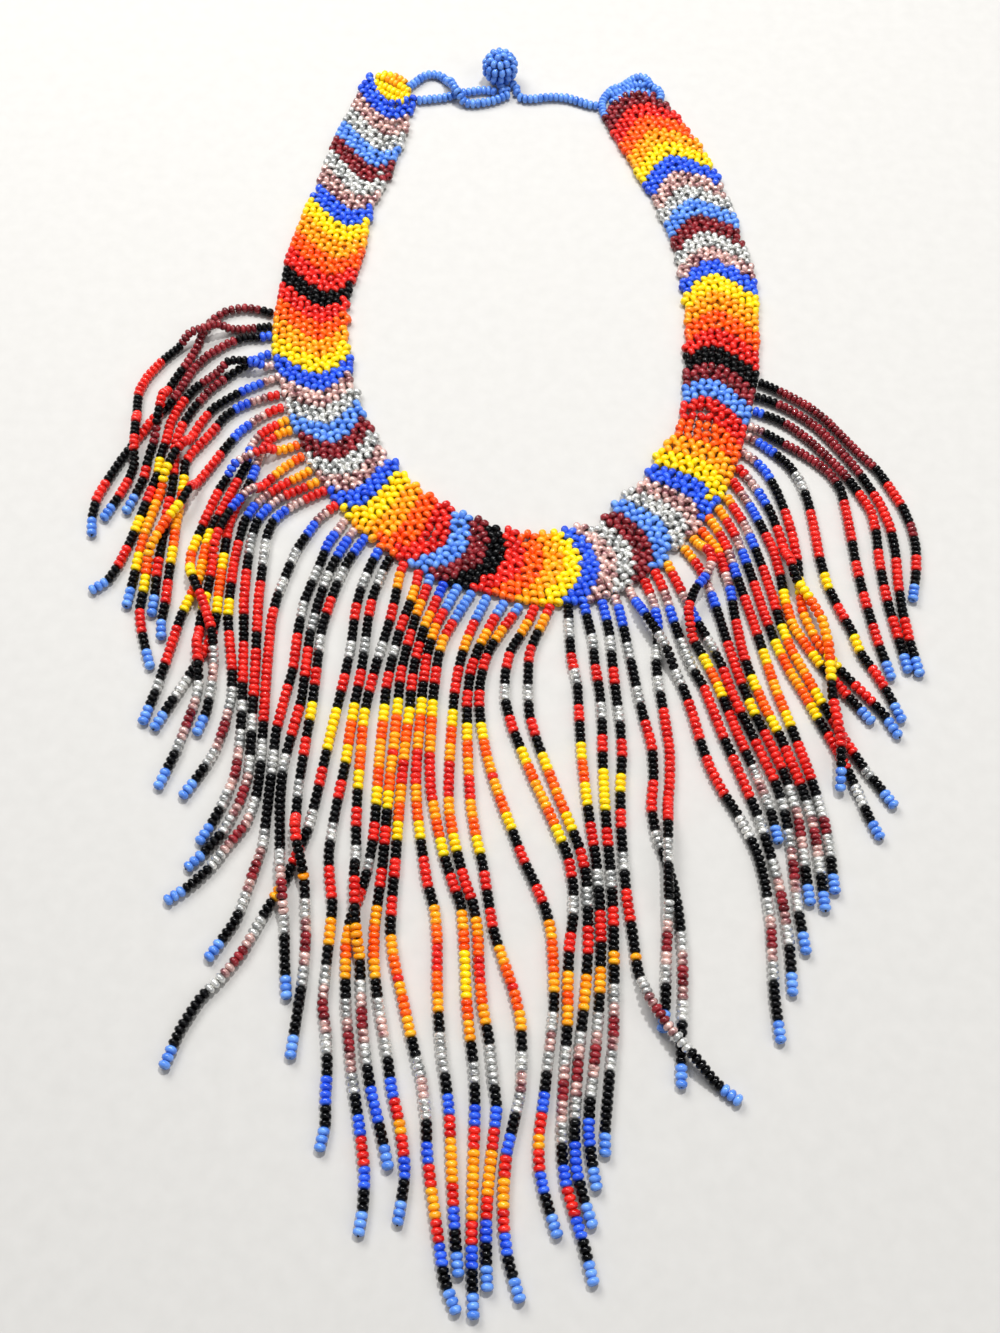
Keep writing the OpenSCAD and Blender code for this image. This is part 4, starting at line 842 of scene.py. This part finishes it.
PALE_BLUE = BEADS["L"][0]
for title, routes in CLASP_STRINGS.items():
    heap, threads = {}, []
    for points in routes:
        path = lay_route(points)
        text = "L%d" % round(run_of(path)[-1] / BEADS["L"][2])
        string_beads(text, path, heap, clear_start(path, "L", end_spots))
        threads.append(path[::THREAD_EVERY])
    dress(bead_mesh(title + "_beads", heap["L"], GLASS["L"]), PALE_BLUE, title)
    dress(thread_mesh(title + "_thread", threads, THREAD), "thread")


def ball_beads(middle):
    """Rings of beads round the ball, each ring turned by another angle, then its stem and the joint."""
    heap = {}
    seat = BALL_D / 2 - FINE * BEADS["L"][1] / 2 - BALL_INSET
    for latitude in BALL_LATITUDES:
        high, wide = seat * math.sin(math.radians(latitude)), seat * math.cos(math.radians(latitude))
        count = round(2 * math.pi * wide / BALL_PITCH)
        for k in range(count):
            turn = 2 * math.pi * (k + rng.uniform(-BALL_UNEVEN, BALL_UNEVEN)) / count + latitude
            spot = middle + (wide * math.cos(turn), wide * math.sin(turn), high)
            way = np.array([-math.sin(turn), math.cos(turn), 0.0])
            put_bead(heap, "L", spot, way, FINE_ROOM, FINE)
    stem = STEM_BEAD + (*PLAN_SHIFT, 0)
    put_bead(heap, "L", stem, (middle - stem) / np.linalg.norm(middle - stem))
    for joint in JOINT_BEADS:
        put_bead(heap, "L", np.array(joint) + (*PLAN_SHIFT, 0), JOINT_WAY)
    return heap["L"]


def ball_core(middle):
    """The ball's core, made as wound thread. It shows only as dark between the beads."""
    corners = []
    for ring in range(CORE_RINGS):
        polar = math.pi * (ring + 0.5) / CORE_RINGS
        for s in range(CORE_SIDES):
            turn = 2 * math.pi * s / CORE_SIDES
            out = (math.sin(polar) * math.cos(turn), math.sin(polar) * math.sin(turn), math.cos(polar))
            corners.append(middle + CORE_R * np.array(out))
    faces = []
    for ring in range(CORE_RINGS - 1):
        for s in range(CORE_SIDES):
            a, b = ring * CORE_SIDES + s, ring * CORE_SIDES + (s + 1) % CORE_SIDES
            faces.append((a, a + CORE_SIDES, b + CORE_SIDES, b))
    for pole, order in ((0, 1), ((CORE_RINGS - 1) * CORE_SIDES, -1)):
        for s in range(1, CORE_SIDES - 2, 2):
            faces.append((pole, pole + s, pole + s + 1, pole + s + 2)[::order])
    return mesh_from("clasp_ball_core", np.array(corners), np.array(faces), THREAD)


ball_middle = np.array([*(BALL_AT + PLAN_SHIFT), BALL_D / 2])
dress(bead_mesh("clasp_ball_beads", ball_beads(ball_middle), GLASS["L"]), PALE_BLUE, "clasp_ball")
dress(ball_core(ball_middle), "thread")

# Table, light and camera. Their places and sizes are in metres.

FLOOR_REACH = 3
# The lights, all aimed at the middle of the table: name, place, size and watts
LIGHTS = [
    ("window_light", (-0.35, 0.55, 0.75), 0.5, 7.4),
    ("fill_light", (0.7, -0.4, 0.8), 0.8, 3.2),
    ("spark_light", (0.15, 0.35, 1.0), 0.07, 8),
]
ROOM_GLOW = 0.35
# The photo's camera: its place, how many degrees it looks down, its lens and its sensor's width in mm
CAMERA_AT = (-0.0004, -0.2091, 0.3171)
CAMERA_DOWN = 60.7
CAMERA_LENS = 41.86
SENSOR_W = 36.0
CAMERA_NEAR = 0.01


def board():
    """Matt paper board."""
    material, tree = start_material("pale_board")
    place = add_node(tree, "ShaderNodeTexCoord")
    grain = add_node(tree, "ShaderNodeTexNoise", {"Scale": 1000 / BOARD_GRAIN, "Detail": 4.0},
                     {"Vector": (place, "Object")})
    tone = add_node(tree, "ShaderNodeValToRGB", None, {"Fac": (grain, "Fac")})
    tone.color_ramp.elements[0].color = linear("#BFBDB9")
    tone.color_ramp.elements[1].color = linear("#C8C6C2")
    body = add_node(tree, "ShaderNodeBsdfPrincipled", {"Roughness": 0.85}, {"Base Color": (tone, "Color")})
    add_node(tree, "ShaderNodeOutputMaterial", None, {"Surface": (body, "BSDF")})
    return material


floor_corners = [(x * FLOOR_REACH, y * FLOOR_REACH, 0) for x, y in ((-1, -1), (1, -1), (1, 1), (-1, 1))]
floor_mesh = bpy.data.meshes.new("floor")
floor_mesh.from_pydata(floor_corners, [], [(0, 1, 2, 3)])
floor_mesh.materials.append(board())
floor = bpy.data.objects.new("floor", floor_mesh)
bpy.context.scene.collection.objects.link(floor)

for name, (x, y, z), size, watts in LIGHTS:
    lamp = bpy.data.lights.new(name, "AREA")
    lamp.size = size
    lamp.energy = watts
    light = bpy.data.objects.new(name, lamp)
    light.location = (x, y, z)
    light.rotation_euler = (math.atan2(math.hypot(x, y), z), 0, math.atan2(x, -y))
    bpy.context.scene.collection.objects.link(light)

world = bpy.data.worlds.new("room")
world.use_nodes = True
world.node_tree.nodes["Background"].inputs["Color"].default_value = linear("#E6E8EC")
world.node_tree.nodes["Background"].inputs["Strength"].default_value = ROOM_GLOW
bpy.context.scene.world = world
bpy.context.scene.view_settings.view_transform = "Standard"

camera_data = bpy.data.cameras.new("camera")
camera_data.lens = CAMERA_LENS
camera_data.sensor_width = SENSOR_W
camera_data.clip_start = CAMERA_NEAR
camera = bpy.data.objects.new("camera", camera_data)
camera.location = CAMERA_AT
camera.rotation_euler = (math.radians(90 - CAMERA_DOWN), 0, 0)
bpy.context.scene.collection.objects.link(camera)
bpy.context.scene.camera = camera
